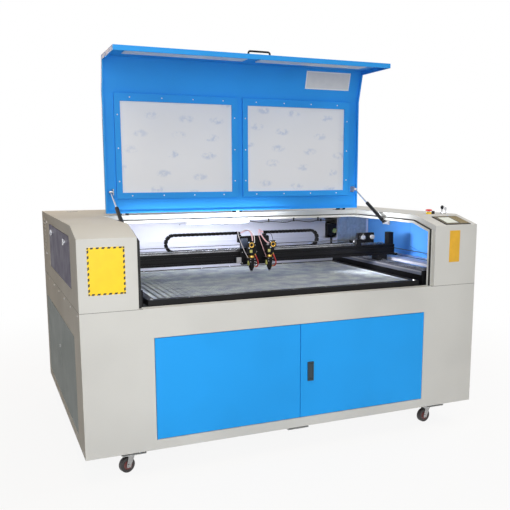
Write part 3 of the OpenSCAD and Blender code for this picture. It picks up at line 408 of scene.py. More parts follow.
# mesh tools; every shape is drawn in millimetres and put in metres at the end
def moved(x, y, z):
    return Matrix.Translation((x, y, z))


def spun(degrees, axis):
    return Matrix.Rotation(math.radians(degrees), 4, axis)


def turnedTo(axis):      # turns a shape drawn along z so that it points along axis
    return Vector(axis).to_track_quat("Z", "Y").to_matrix().to_4x4()


def steps(first, last, count):
    return [first + (last - first) * i / (count - 1) for i in range(count)]


def onCircle(radius, degrees):
    return radius * math.cos(math.radians(degrees)), radius * math.sin(math.radians(degrees))


def rod(radius, low, high):      # profile of a plain round bar, for turnedShape
    return [(0, low), (radius, low), (radius, high), (0, high)]


def tube(inner, outer, low, high):
    return [(inner, low), (outer, low), (outer, high), (inner, high)]


def newVerts(made):
    return [v for v in made["geom"] if isinstance(v, bmesh.types.BMVert)]


def asShape(bm):
    bmesh.ops.remove_doubles(bm, verts=bm.verts, dist=0.0005)
    bmesh.ops.recalc_face_normals(bm, faces=bm.faces)
    mesh = bpy.data.meshes.new("shape")
    bm.to_mesh(mesh)
    bm.free()
    return mesh


def roundEdges(bm, edges, soften, segments=2):
    return bmesh.ops.bevel(bm, geom=list(edges), offset=soften, segments=segments, profile=0.5,
                           affect="EDGES", material=-1, clamp_overlap=True)


def boxShape(low, high, soften=0.0, segments=2):
    bm = bmesh.new()
    size = [h - l for l, h in zip(low, high)]
    centre = [(l + h) / 2 for l, h in zip(low, high)]
    bmesh.ops.create_cube(bm, size=1, matrix=moved(*centre) @ Matrix.Diagonal((*size, 1)))
    if soften:
        roundEdges(bm, bm.edges, soften, segments)
    return asShape(bm)


def turnedShape(profile, count=32, closed=False):      # profile of (radius, height) turned round z
    bm = bmesh.new()
    verts = [bm.verts.new((r, 0, h)) for r, h in profile]
    edges = [bm.edges.new(pair) for pair in zip(verts, verts[1:])]
    if closed:
        edges.append(bm.edges.new((verts[-1], verts[0])))
    bmesh.ops.spin(bm, geom=verts + edges, cent=(0, 0, 0), axis=(0, 0, 1), angle=2 * math.pi,
                   steps=count, use_merge=True)
    return asShape(bm)


def drawnShape(points, thick, soften=0.0):      # outline in x and y, raised along z
    bm = bmesh.new()
    face = bm.faces.new([bm.verts.new((x, y, 0)) for x, y in points])
    made = bmesh.ops.extrude_face_region(bm, geom=[face])
    bmesh.ops.translate(bm, verts=newVerts(made), vec=(0, 0, thick))
    if soften:
        roundEdges(bm, [e for e in bm.edges if abs(e.verts[0].co.z - e.verts[1].co.z) < thick / 2],
                   soften)
    return asShape(bm)


def screwShape(radius, height, sides=12):
    bm = bmesh.new()
    bmesh.ops.create_cone(bm, cap_ends=True, segments=sides, radius1=radius, radius2=radius * 0.78,
                          depth=height, matrix=moved(0, 0, height / 2))
    top = max(bm.faces, key=lambda f: f.calc_center_median().z)
    bmesh.ops.inset_individual(bm, faces=[top], thickness=radius * 0.4, depth=0)
    bmesh.ops.translate(bm, verts=top.verts, vec=(0, 0, -height * 0.5))
    return asShape(bm)


def roundCurve(name, points, radius, sides):      # a round bar, hose or cable along points
    curve = bpy.data.curves.new(name, "CURVE")
    curve.dimensions = "3D"
    curve.bevel_depth = radius
    curve.bevel_resolution = sides
    curve.use_fill_caps = True
    spline = curve.splines.new("POLY")
    spline.points.add(len(points) - 1)
    for point, at in zip(spline.points, points):
        point.co = (*at, 1)
    spline.use_smooth = True
    return curve


sharpAngle = math.radians(32)      # an edge that folds more than this stays sharp


def markSharp(bm):
    for face in bm.faces:
        face.smooth = True
    for edge in bm.edges:      # 4 stands for a loose edge, more than any angle
        edge.smooth = len(edge.link_faces) == 2 and edge.calc_face_angle(4) < sharpAngle


def finishedPiece(name, bm, body, finishNames, replaces):
    markSharp(bm)
    mesh = bpy.data.meshes.new(name)
    bm.to_mesh(mesh)
    bm.free()
    for finishName in finishNames:
        mesh.materials.append(finishes[finishName])
    piece = newObject(name, mesh)
    even = piece.modifiers.new("evenNormals", "WEIGHTED_NORMAL")      # flat sheets stay flat
    even.keep_sharp = True
    if body:      # a piece without one is left without a body
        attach(piece, body)
    if replaces:
        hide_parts(*replaces)
    return piece


class Piece:
    def __init__(self, name, body, *finishNames):
        self.name, self.body, self.finishNames = name, body, finishNames
        self.bm = bmesh.new()

    def stamp(self, shape, matrix=Matrix.Identity(4), finish=0):
        copy = shape.copy()
        copy.transform(matrix)
        first = len(self.bm.faces)
        self.bm.from_mesh(copy)
        bpy.data.meshes.remove(copy)
        self.bm.faces.ensure_lookup_table()
        flip = matrix.determinant() < 0
        for i in range(first, len(self.bm.faces)):
            self.bm.faces[i].material_index = finish
            if flip:
                self.bm.faces[i].normal_flip()

    def box(self, one, other, soften=0.0, finish=0, matrix=Matrix.Identity(4)):
        low, high = zip(*map(sorted, zip(one, other)))
        self.stamp(boxShape(low, high, soften), matrix, finish)

    def boxes(self, rows):
        for row in rows:
            self.box(*row)

    def turned(self, profile, place, axis=(0, 0, 1), count=32, finish=0, closed=False):
        self.stamp(turnedShape(profile, count, closed), moved(*place) @ turnedTo(axis), finish)

    def screws(self, size, xs, ys, zs, axis=None, finish=0):      # one at each x, y and z
        shape, turn = screwShape(*size), turnedTo(axis) if axis else Matrix.Identity(4)
        for place in product(xs, ys, zs):
            self.stamp(shape, moved(*place) @ turn, finish)

    def done(self, matrix=Matrix.Identity(4), replaces=()):
        bmesh.ops.transform(self.bm, matrix=Matrix.Scale(mm, 4) @ matrix, verts=self.bm.verts)
        self.bm.normal_update()
        return finishedPiece(self.name, self.bm, self.body, self.finishNames, replaces)


# Copies of the CAD nodes: finish, rounding, and zones of other finishes as boxes in millimetres
dressed = {
    "base_frame": ("framePaint", 1.5),
    "skids": ("bodyPaint", 0.7),
    "front_panel": ("bodyPaint", 0.7),
    "left_side_panel": ("bodyPaint", 0.7),
    "right_side_panel": ("bodyPaint", 0.7),
    "rear_panel": ("bodyPaint", 0.7),
    "floor_panel": ("zincPlate", 0.5),
    "left_pod": ("bodyPaint", 0.7),
    "right_pod": ("bodyPaint", 0.7),
    "rear_deck": ("bodyPaint", 0.7),
    "side_liners": ("linerPaint", 0.4),
    "rear_bulkhead": ("innerPaint", 0.6),
    "work_deck": ("innerPaint", 0.7),
    "lid_gasket": ("sealRubber", 1.0),
    "bed_frame": ("blackPaint", 1.2),
    # the guide beams' top faces in a lighter grey: painted light
    "guide_beams": ("blackAnodised", 1.0, ("anodisedGrey", (-925, -740, 754.6), (925, 300, 755.4))),
    "guide_rails": ("groundSteel", 0.8),
    "drive_shaft": ("turnedSteel", 0.6),
    "laser_tubes": ("laserGlass", 2.0, ("blackPlastic", (-517, 200, 680), (-483, 657, 900)),
                    ("blackPlastic", (483, 200, 680), (517, 657, 900))),
    "rear_mirror": ("blackAnodised", 1.0, ("brass", (630, 246, 850), (680, 255.9, 905))),
    "electronics": ("zincPlate", 1.2),
    "exhaust_collars": ("zincPlate", 0.7),
    "lamp": ("lampWhite", 1.0, ("lampGlow", (-283, 28, 962), (24, 43.8, 978))),
    "deck_fittings": ("satinSilver", 0.5, ("blackPaint", (-700, 68, 1000), (700, 120, 1030))),
    "lid_shell": ("lidPaint", 0.6),
    "window_frames": ("lidPaint", 1.2),
    "window_sheets": ("windowFilm", 0.3),
    "lid_fittings": ("satinSilver", 0.5, ("blackPaint", (-640, 10, 1005), (640, 80, 1075))),
    "strut_rods": ("chrome", 0.5),
    "strut_tubes": ("blackPlastic", 0.8),
    "door_left": ("doorPaint", 0.7),
    "door_right": ("doorPaint", 0.7, ("leverSteel", (33, -670, 300), (63, -657.1, 400))),
    "door_lever": ("leverSteel", 0.6),
    # the side door's colour is painted shade of its blue paint
    "side_door": ("sideDoorPaint", 0.7),
    # the hatch's colour is painted shade of its blue paint
    "side_hatch": ("hatchAcrylic", 0.6),
    "hatch_latch_front": ("chrome", 0.7),
    "hatch_latch_rear": ("chrome", 0.7),
    "gantry_fittings": ("blackAnodised", 1.0, ("satinSilver", (560, -190, 866), (665, -175.05, 895))),
    **{"caster_fork_%d" % i: ("casterZinc", 0.4) for i in range(1, 5)},
}


def dressNode(node, finish, soften, *zones):
    bm = bmesh.new()
    bm.from_mesh(bpy.data.objects[node].data)
    bmesh.ops.remove_doubles(bm, verts=bm.verts, dist=0.002 * mm)
    bmesh.ops.dissolve_limit(bm, angle_limit=math.radians(0.6), verts=bm.verts, edges=bm.edges)
    for index, zone in enumerate(zones, 1):
        for face in bm.faces:
            if all(a * mm <= c <= b * mm for a, c, b in zip(zone[1], face.calc_center_median(), zone[2])):
                face.material_index = index
    wear = bm.faces.layers.float.new("edgeWear")
    folds = [e for e in bm.edges if len(e.link_faces) == 2 and e.calc_length() > 2 * soften * mm
             and e.calc_face_angle() > sharpAngle]
    for face in roundEdges(bm, folds, soften * mm)["faces"]:
        face[wear] = 1
    finishedPiece(node + "Skin", bm, bodyOf[node], (finish, *[zone[0] for zone in zones]), [node])


for node, look in dressed.items():
    dressNode(node, *look)
print("CAD nodes dressed:", len(dressed))


# alongX turns a shape's x, y and z to Y, Z and X; openLid takes a shape that is drawn with the lid
# closed to the open lid; slopeTop puts one that is drawn flat on the slope at the front
alongX = Matrix(((0, 0, 1, 0), (1, 0, 0, 0), (0, 1, 0, 0), (0, 0, 0, 1)))
openLid = moved(0, hingeY, hingeZ) @ spun(-90, "X") @ moved(0, -hingeY, -hingeZ)
slopeTop = moved(0, frontY, slopeZ) @ spun(slopeAngle, "X")
up, down, forward, rearward = (0, 0, 1), (0, 0, -1), (0, -1, 0), (0, 1, 0)


# honeycomb: folded foil strips, each with its mirror image, repeated across the bed
comb = {"cell": 15.98, "foil": 0.8, "thick": 19, "top": 709.8, "rows": 48, "folds": 44, "rim": 3,
        "low": (-618.5, -576.0), "high": (609.5, 197.0)}


def makeComb():
    side, half = comb["cell"] / math.sqrt(3), comb["cell"] / 2
    (x1, y1), (x2, y2), rim, top = comb["low"], comb["high"], comb["rim"], comb["top"]
    startX = (x1 + x2) / 2 - 1.5 * side * comb["folds"]
    bm = bmesh.new()
    for base, sign in ((y1 + rim, 1), (y1 + rim + comb["cell"], -1)):
        line = []
        for fold in range(comb["folds"]):
            for along, rise in ((0, 0), (side, 0), (1.5 * side, half), (2.5 * side, half)):
                line.append(bm.verts.new((startX + 3 * side * fold + along, base + sign * rise,
                                          top - comb["thick"])))
        for pair in zip(line, line[1:]):
            bm.edges.new(pair)
    made = bmesh.ops.extrude_edge_only(bm, edges=list(bm.edges))
    bmesh.ops.translate(bm, verts=newVerts(made), vec=(0, 0, comb["thick"]))
    bmesh.ops.scale(bm, verts=bm.verts, vec=(mm, mm, mm))
    mesh = bpy.data.meshes.new("combFoil")
    bm.to_mesh(mesh)
    bm.free()
    mesh.materials.append(finishes["combFoil"])
    foil = newObject("combFoil", mesh)
    wall = foil.modifiers.new("foil", "SOLIDIFY")
    wall.thickness = comb["foil"] * mm
    wall.offset = 0
    rows = foil.modifiers.new("rows", "ARRAY")
    rows.count = comb["rows"]
    rows.use_relative_offset = False
    rows.use_constant_offset = True
    rows.constant_offset_displace = (0, comb["cell"] * mm, 0)
    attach(foil, "cabinet")
    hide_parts("honeycomb")
    edge = Piece("combRim", "cabinet", "combFoil")
    for a, b in (((x1, y1), (x2, y1 + rim)), ((x1, y2 - rim), (x2, y2)), ((x1, y1), (x1 + rim, y2)),
                 ((x2 - rim, y1), (x2, y2))):
        edge.box((*a, top - comb["thick"] - 1), (*b, top), 0.5)
    edge.done()


# beam of extruded section with its rail, bolts and end caps
beam = {"slotHigh": 8, "slotDeep": 5, "slotsAt": (10, 37), "wide": 50, "tall": 55, "cap": 2.5,
        "railHalf": 710, "railY": 15, "boltsHalf": 690, "bolts": 24, "bolt": (3.4, 0.6, 10),
        "boltY": -184.5,
        "rail": [(0, 0), (15, 0), (15, 4), (13.4, 5.4), (13.4, 7.6), (15, 9), (15, 11.6), (14.6, 12),
                 (0.4, 12), (0, 11.6), (0, 9), (1.6, 7.6), (1.6, 5.4), (0, 4)]}


def makeBeam():
    high, deep, wide, tall = beam["slotHigh"], beam["slotDeep"], beam["wide"], beam["tall"]
    front = [(0, 0)]
    for z in beam["slotsAt"]:
        front += [(0, z), (deep, z), (deep, z + high), (0, z + high)]
    front.append((0, tall))
    section = front + [(wide - y, z) for y, z in reversed(front)]
    piece = Piece("gantryBeam", "gantry", "blackAnodised", "groundSteel", "blackPlastic", "turnedSteel")
    cap, railHalf, boltsHalf = beam["cap"], beam["railHalf"], beam["boltsHalf"]
    piece.stamp(drawnShape(section, 2 * (beamHalf - cap)),
                moved(midX - beamHalf + cap, beamY, beamZ) @ alongX)
    for x in (midX - beamHalf, midX + beamHalf - cap):
        piece.box((x, beamY, beamZ), (x + cap, beamY + wide, beamTop), 0.8, 2)
    piece.stamp(drawnShape(beam["rail"], 2 * railHalf),
                moved(midX - railHalf, beamY + beam["railY"], beamTop) @ alongX, 1)
    piece.screws(beam["bolt"], steps(midX - boltsHalf, midX + boltsHalf, beam["bolts"]),
                 (beam["boltY"],), (beamTop + 12,), finish=3)
    piece.done(replaces=["gantry_beam"])


# toothed belts, the pulleys that they run on and the clamps that hold them
belts = {
    "thick": 1.4,
    "beamX": (-740, 536), "beamY": -204, "beamZ": 859.5, "beamRadius": 12, "beamWide": 8,
    "toothPitch": 5, "tooth": (2, 1.2), "toothRise": (11.9, -10.7),
    "beamPulley": [(0, 0), (14, 0), (14, 1.5), (11, 1.5), (11, 11.5), (14, 11.5), (14, 13), (0, 13)],
    "sideX": (-800.5, 777.5), "sideY": (-592, 238), "sideZ": 799, "sideRadius": 16.4, "sideWide": 10,
    "sidePulley": [(0, -1), (16, -1), (16, 0.5), (15, 0.5), (15, 13.5), (16, 13.5), (16, 15), (0, 15)],
    "clampY": (-200, -164), "clampScrewsY": (-192, -172),
    "beamAxle": (3, -3, 22), "beamAxleY": -192, "sideAxle": (4, -22, 22),      # radius and ends
    "bracketY": (-214, beamY), "bracketTop": 874,
}


def beltLoop(radius, run, width):      # loop round two pulleys, its run along +X
    bm = bmesh.new()
    bmesh.ops.create_circle(bm, segments=24, radius=radius, matrix=spun(7.5, "Z"))
    bmesh.ops.translate(bm, verts=[v for v in bm.verts if v.co.x > 0], vec=(run, 0, 0))
    made = bmesh.ops.extrude_edge_only(bm, edges=list(bm.edges))
    bmesh.ops.translate(bm, verts=newVerts(made), vec=(0, 0, width))
    bmesh.ops.recalc_face_normals(bm, faces=bm.faces)
    bmesh.ops.solidify(bm, geom=list(bm.faces), thickness=-belts["thick"])
    return asShape(bm)


def makeBelts():
    (x1, x2), y, z, wide = belts["beamX"], belts["beamY"], belts["beamZ"], belts["beamWide"]
    piece = Piece("beamBelt", "gantry", "beltCord", "turnedSteel", "blackAnodised")
    upright = spun(90, "X")      # y and z of a shape to Z and -Y
    piece.stamp(beltLoop(belts["beamRadius"], x2 - x1, wide), moved(x1, y + wide, z) @ upright)
    thick, deep = belts["tooth"]
    tooth = boxShape((-thick / 2, -wide, -deep), (thick / 2, 0, 0))
    teeth = int((x2 - x1 - 16) / belts["toothPitch"])
    for x, rise in product(steps(x1 + 8, x2 - 8, teeth), belts["toothRise"]):
        piece.stamp(tooth, moved(x, y + wide, z + rise))
    for x in (x1, x2):
        piece.stamp(turnedShape(belts["beamPulley"], 24), moved(x, y + wide + 2.5, z) @ upright, 1)
    bracketY1, bracketY2 = belts["bracketY"]
    piece.box((x2 - 6, bracketY1, beamTop), (x2 + 26, bracketY2, belts["bracketTop"]), 1, 2)
    piece.turned(rod(*belts["beamAxle"]), (x2, belts["beamAxleY"], z), forward, 16, 1)
    piece.done()

    (y1, y2), z, (clampY1, clampY2) = belts["sideY"], belts["sideZ"], belts["clampY"]
    clamps = Piece("beltClamps", "gantry", "blackAnodised", "turnedSteel")
    for i, (x, out) in enumerate(zip(belts["sideX"], (-1, 1))):
        side = Piece("guideBelt%d" % (i + 1), "cabinet", "beltCord", "turnedSteel", "blackAnodised")
        side.stamp(beltLoop(belts["sideRadius"], y2 - y1, belts["sideWide"]),
                   moved(x + 2, y1, z) @ alongX)
        side.turned(belts["sidePulley"], (x, y1, z), (1, 0, 0), 24, 1)
        edge = x + 7 + out * 11      # outer side of the pulley, where its bracket starts
        side.boxes((((edge, y1 - 20, 768), (edge + out * 6, y1 + 20, 812), 1.2, 2),
                    ((edge, y1 - 20, 768), (edge + out * 26, y1 + 20, 772), 1.2, 2)))
        side.turned(rod(*belts["sideAxle"]), (x + 7, y1, z), (1, 0, 0), 16, 1)
        side.done()
        clamps.boxes((((x, clampY1, 779), (x + 14, clampY2, 785.6), 0.8),
                      ((x, clampY1, 785), (x + 14, clampY2, 790), 0.8),
                      ((x + 7 - out * 21, clampY1 + 2, 786), (x + 7, clampY2 - 2, 790), 0.8)))
        clamps.screws((3, 3), (x + 7,), belts["clampScrewsY"], (790,), finish=1)
    clamps.done()


# drag chains; the upper and lower runs meet at a bend on each side
chain = {"pitch": 20, "y": -163, "low": 847, "top": 925, "radius": 39, "left": -417.5,
         "right": 289.5, "anchor": 62, "fixed": 40, "wide": 20, "tall": 14, "bendLinks": 6,
         "cheek": 2.4, "bar": 2}      # thickness of a link's sides and of its crossbars


def linkShape():
    half, wide, tall = chain["pitch"] / 2, chain["wide"] / 2, chain["tall"] / 2
    cheek, bar = chain["cheek"], chain["bar"]
    bm = bmesh.new()
    for low, high, *rounding in (
            ((-half - 1, wide - cheek, -tall + 0.6), (half - 1.6, wide, tall - 0.6), 1.2, 1),
            ((-half - 1, -wide, -tall + 0.6), (half - 1.6, -wide + cheek, tall - 0.6), 1.2, 1),
            ((-5.5, -wide + 0.5, tall - bar), (4, wide - 0.5, tall)),
            ((-5.5, -wide + 0.5, -tall), (4, wide - 0.5, -tall + bar)),
            ((half - 3, -wide + 2, -3), (half + 0.5, wide - 2, 3))):      # the pin
        bm.from_mesh(boxShape(low, high, *rounding))
    mesh = bpy.data.meshes.new("link")
    bm.to_mesh(mesh)
    bm.free()
    return mesh


def makeChains():
    link = linkShape()
    y, low, top = chain["y"], chain["low"], chain["top"]
    for side, way in (("Left", -1), ("Right", 1)):
        bend = chain[side.lower()]
        for level, z, end in (("Upper", top, headX + way * chain["anchor"]),
                              ("Lower", low, headX + way * chain["fixed"])):
            name = "chain" + level + side
            count = round(abs(end - bend) / chain["pitch"])
            pitch = (end - bend) / count
            piece = Piece(name, None, "chainPlastic")
            for i in range(count):
                piece.stamp(link, moved(bend + pitch * (i + 0.5), y, z)
                            @ Matrix.Diagonal((pitch / chain["pitch"], 1, 1, 1)))
            strand = piece.done(replaces=["chain_strands"] if name == "chainUpperLeft" else ())
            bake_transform(strand)
    bends = Piece("chainBends", "chain", "chainPlastic")
    count = chain["bendLinks"]
    for (x, first), i in product(((chain["left"], 90), (chain["right"], -90)), range(count)):
        angle = first + 180 * (i + 0.5) / count
        dx, dz = onCircle(chain["radius"], angle)
        bends.stamp(link, moved(x + dx, y, (low + top) / 2 + dz) @ spun(90 - angle, "Y"))
    bends.done(replaces=["chain_bends"])


# head carriage: truck on the rail, upright plate, arm of the chains and covers
carriage = {
    "outline": [(-103, 777), (44.5, 777), (50.5, 783), (50.5, 850), (40.5, 866), (40.5, 909),
                (34.5, 915), (-103, 915), (-109, 909), (-109, 783)],
    "front": -219,
    "back": -213,
    "boxes": (      # low and high corner, rounding, finish
        ((-87.5, -213, 844), (32.5, -192.5, 864), 0.8),
        ((-87.5, -176.5, 844), (32.5, -174, 864), 0.8),
        ((-87.5, -192.6, 852.5), (32.5, -176.4, 864), 0.8),
        ((-101.5, -213, 880), (46.5, -153, 886), 0.8),
        ((-101.5, -173, 880), (-85.5, -153, 918), 0.8),
        ((30.5, -173, 880), (46.5, -153, 918), 0.8),
        ((-130.5, -220, 792), (-105, -212, 811), 0.8),
        ((-131, -231, 787), (-107.5, -219, 815), 1.2, 2),
        ((-107, -229, 858), (-74, -219, 904), 1.6, 1)),
    "screws": (     # radius and height, places along x, y and z
        ((2.6, 2), (-93.5, 38.5), (-173,), (897, 909)),
        ((2.4, 1.6), (-119,), (-231,), (793, 809)),
        ((2.4, 1.6), (-102, -79), (-229,), (864, 898)),
        ((3.6, 2.6), (-100, -27.5, 42), (-219,), (787, 838))),
}


def makeCarriage():
    piece = Piece("headCarriage", "head_carriage", "blackAnodised", "blueGrey", "satinSilver",
                  "turnedSteel")
    back = carriage["back"]
    piece.stamp(drawnShape(carriage["outline"], back - carriage["front"], 0.8),
                moved(0, back, 0) @ spun(90, "X"))
    piece.boxes(carriage["boxes"])
    for row in carriage["screws"]:
        piece.screws(*row, forward, 3)
    piece.done(replaces=["carriage"])


# laser heads, one on each side of the carriage's middle; profiles are (radius, height)
headFront = -17      # from the nozzle's middle
springPlace = (-17.5, -6, 97)
heads = {
    "xs": (-73.5, 18.5),
    "mirrorXs": (-81, 28.5),
    "mirrorZ": 878,
    "boxes": (      # from the nozzle's middle at the bed frame: corners, rounding, finish
        ((-17, headFront, 108), (17, 54, 128), 1.5),
        ((-19, headFront, 149), (19, 17, 187), 2),
        ((-17, 17, 152), (17, 24, 184), 1.2, 3),
        ((-16, headFront - 5, 155), (-3, headFront + 1, 169), 1, 4)),
    "turned": (     # profile, places from the same point, axis, segments, finish, closed
        ([(0, 82), (11, 82), (12.6, 83.5), (12.6, 92), (11.6, 93), (11.6, 97), (13, 98), (13, 107),
          (12, 108), (12, 129), (12, 141), (13, 142), (13, 149.5), (0, 149.5)],
         [(0, 0, 0)], up, 36, 0),                                                      # lens tube
        ([(12, 130), (14.4, 130), (15, 131), (15, 139), (14.4, 140), (12, 140)],
         [(0, 0, 0)], up, 24, 1, True),                                                # brass collar
        ([(1.4, 66), (1.4, 63), (3, 63), (5.5, 68), (8.6, 75), (12, 83), (4, 83)],
         [(0, 0, 0)], up, 28, 3, True),                                                # nozzle
        ([(3.1, 62.9), (4.4, 63.4), (6.4, 68), (5.4, 68.4)], [(0, 0, 0)], up, 24, 5, True),
        ([(12.2, 0), (13.4, 0.6), (13.4, 2), (12.2, 2.6)],
         [(0, 0, z) for z in (100, 104, 112, 120)], up, 24, 0, True),                  # grips
        ([(0, 0), (4.2, 0), (5, 0.8), (5, 5.2), (4.2, 6), (2.4, 6), (2.4, 11), (0, 11)],
         [(-12, -8, 187), (12, -8, 187), (12, 10, 187)], up, 16, 2),                   # thumbscrews
        ([(0, 8), (3.8, 8), (3.8, 12), (2.6, 12.5), (3, 18), (0, 18)],
         [(0, 0, 86)], (1, 0, 0), 16, 1),                                              # air inlet
        ([(0, 0), (4.2, 0), (4.2, 5), (3.2, 6), (0, 6)], [(15, -10, 149)], down, 12, 1),
        (rod(6, -1, 19), [springPlace], up, 16, 4),
        ([(6, 0), (6.9, 0.7), (6, 1.5)],
         [Vector(springPlace) + Vector((0, 0, 2.7 * i)) for i in range(7)], up, 16, 4, True)),
    "mirror": (     # the same, from the middle of the mirror's ring
        ([(7.6, 0), (12.4, 0), (13, 0.8), (13, 3), (12.2, 4), (9.2, 4), (7.6, 2.6)],
         [(0, 0, 0)], forward, 28, 1, True),
        (rod(7.8, 0, 1), [(0, 0, 0)], forward, 24, 3),
        ([(0, 0), (2.6, 0), (3.2, 0.6), (3.2, 2.8), (0, 3.4)],
         [(-13, 0, 13), (13, 0, 13), (-13, 0, -13)], forward, 14, 5)),
    "mirrorPlate": [(-18, -18), (8, -18), (18, -8), (18, 14), (12, 19), (-12, 19), (-18, 13)],
    "plateThick": 5,
    "screw": (2.6, 2),
    "screwsX": 11,
    "screwsZ": (seamZ + 112, seamZ + 124),
}


def makeHeads():
    piece = Piece("laserHeads", "head_carriage", "blackAnodised", "brass", "satinSilver", "blackPlastic",
                  "brassOlive", "chrome")
    front = nozzleY + headFront
    for x, mirrorX in zip(heads["xs"], heads["mirrorXs"]):
        place = Vector((x, nozzleY, seamZ))
        for low, high, *look in heads["boxes"]:
            piece.box(place + Vector(low), place + Vector(high), *look)
        for start, table in ((place, "turned"), (Vector((mirrorX, front - 4, heads["mirrorZ"])), "mirror")):
            for profile, offsets, *look in heads[table]:
                for offset in offsets:
                    piece.turned(profile, start + Vector(offset), *look)
        piece.stamp(drawnShape(heads["mirrorPlate"], heads["plateThick"], 0.8),
                    moved(mirrorX, front + 1, heads["mirrorZ"]) @ turnedTo(forward))
        piece.screws(heads["screw"], (x - heads["screwsX"], x + heads["screwsX"]), (front,),
                     heads["screwsZ"], forward, 2)
    piece.done(replaces=["laser_heads"])


# hoses and the lamp's cable, along the routes of their CAD solids, each from its place below
airRoute = [(15, -10, 149), (16, -11, 143), (19, -13, 134), (24, -14, 122), (28, -14, 110),
            (29, -12, 99), (28, -6, 90), (24, -1, 86), (18, 0, 86)]
feedRoute = [(0, 0, 0), (12, -2, 3), (26, -9, 11), (36, -27, 13), (38, -52, 0), (34, -77, -20),
             (26, -99, -37), (17, -108, -44), (16, -110, -51)]
cableRoute = [(0, -5, -4), (30, -5, -8), (75, -4, -13), (120, -3, -10), (165, -3, -13),
              (215, -4, -17), (265, -3, -10), (310, -3, -13), (360, -4, -19), (410, -3, -12),
              (455, -4, -14), (500, 2, -18), (530, 40, -22), (545, 100, -26), (550, 160, -28),
              (550, 200, -29), (550, 234, -29)]
# thin wires from the ends of the chains to the heads
innerWire = [(0, 0, 0), (10, -6, 10), (26, -22, 15), (40, -44, 8), (46, -62, -12), (42, -78, -42),
             (34, -90, -74), (26, -98, -104), (22, -104, -122)]
outerWire = [(0, 0, 0), (-6, -8, 6), (-14, -26, 4), (-18, -48, -14), (-15, -72, -44), (-7, -90, -76),
             (2, -100, -100), (6, -106, -110)]
cordPlaces = {      # route, place of its first point, across, radius, body, finish, smoothing
    "airHoseLeft": (airRoute, (-73.5, -273, 687), 1, 3, "head_carriage", "hoseRed", 4),
    "airHoseRight": (airRoute, (18.5, -273, 687), 1, 3, "head_carriage", "hoseRed", 4),
    "feedHoseLeft": (feedRoute, (-89.5, -163, 925), 1, 3, "head_carriage", "hosePink", 4),
    "feedHoseRight": (feedRoute, (34.5, -163, 925), -1, 3, "head_carriage", "hosePink", 4),
    "lampCable": (cableRoute, (35.5, 54, 970), 1, 2, "cabinet", "blackPlastic", 4),
    "wireLeftInner": (innerWire, (-86, -163, 926), 1, 1.5, "head_carriage", "wireWhite", 5),
    "wireLeftOuter": (outerWire, (-95, -163, 926), 1, 1.2, "head_carriage", "wireWhite", 5),
    "wireRightInner": (innerWire, (31, -163, 926), -1, 1.5, "head_carriage", "hosePink", 5),
    "wireRightOuter": (outerWire, (40, -163, 926), -1, 1.2, "head_carriage", "blackPlastic", 5),
}


clips = {"places": [cableRoute[i] for i in (3, 6, 9)], "ring": tube(2.1, 3.4, -4, 4), "half": 4,
         "y": (52.2, 53.6), "top": 976, "grommetAt": (585.5, bulkheadY, 941),
         "grommet": [(2.1, 0), (7, 0), (7, 2), (4.5, 4), (3, 6), (2.1, 6)]}


def smoothed(route, count):
    points = [Vector(p) for p in route]
    line = []
    for i in range(len(points) - 1):
        a, b = points[max(i - 1, 0)], points[i]
        c, d = points[i + 1], points[min(i + 2, len(points) - 1)]
        for k in range(count):
            t = k / count
            line.append(0.5 * (2 * b + (c - a) * t + (2 * a - 5 * b + 4 * c - d) * t * t
                               + (3 * b - a - 3 * c + d) * t * t * t))
    return line + [points[-1]]


def makeCord(name):
    route, place, across, radius, body, finishName, count = cordPlaces[name]
    line = [Vector((across * p.x, p.y, p.z)) + Vector(place) for p in smoothed(route, count)]
    curve = roundCurve(name, [at * mm for at in line], radius * mm, 4)
    curve.materials.append(finishes[finishName])
    cordPiece = newObject(name, curve)
    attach(cordPiece, body)
    return cordPiece


def makeCords():
    made = {name: makeCord(name) for name in cordPlaces}
    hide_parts("head_hoses")
    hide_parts("lamp_cable")
    piece = Piece("cableClips", "cabinet", "blackPlastic")
    half, (y1, y2) = clips["half"], clips["y"]
    for offset in clips["places"]:
        at = Vector(cordPlaces["lampCable"][1]) + Vector(offset)
        piece.turned(clips["ring"], at, (1, 0, 0), 20, closed=True)
        piece.box((at.x - half, y1, at.z + 2), (at.x + half, y2, clips["top"]), 0.4)
    piece.turned(clips["grommet"], clips["grommetAt"], forward, 20, closed=True)
    piece.done()


makeComb()
makeBeam()
makeBelts()
makeChains()
makeCarriage()
makeHeads()
makeCords()
print("bed, beam, belts, chains, heads and hoses made")


# control unit in the slope of the right pod; boxes are low and high corner, rounding, finish
unit = {"x": 750, "up": 6, "keys": ((93, 12), (134, 101)), "columns": 3, "rows": 5, "keyGap": 3,
        "keyZ": (4, 4.9),
        "boxes": (((0, 0, 0), (142, 117, 3.6), 1.2),
                  ((4, 4, 3), (138, 113, 4.2), 0.4, 1),
                  ((12, 12, 3.8), (86, 101, 4.5), 0.3),
                  ((18, 16, 4.1), (82, 95, 4.8), 0.3, 2)),
        "back": (((9, 9, -28), (133, 108, 0.5), 1),
                 *[((x, 30, -28), (x + 26, 44, -27.4), 0.2, 4) for x in (20, 60, 100)])}


def makeControlUnit():
    piece = Piece("controlUnit", "cabinet", "blackPlastic", "keypadBronze", "screenGlass", "keyTop",
                  "turnedSteel")
    piece.boxes(unit["boxes"])
    (x1, y1), (x2, y2) = unit["keys"]
    columns, rows, gap, (low, high) = unit["columns"], unit["rows"], unit["keyGap"], unit["keyZ"]
    wide, long = (x2 - x1 + gap) / columns - gap, (y2 - y1 + gap) / rows - gap
    for column, row in product(range(columns), range(rows)):
        x, y = x1 + column * (wide + gap), y1 + row * (long + gap)
        piece.box((x, y, low), (x + wide, y + long, high), 0.4, 3)
    piece.boxes(unit["back"])
    piece.done(slopeTop @ moved(unit["x"], unit["up"], 0), replaces=["control_panel"])


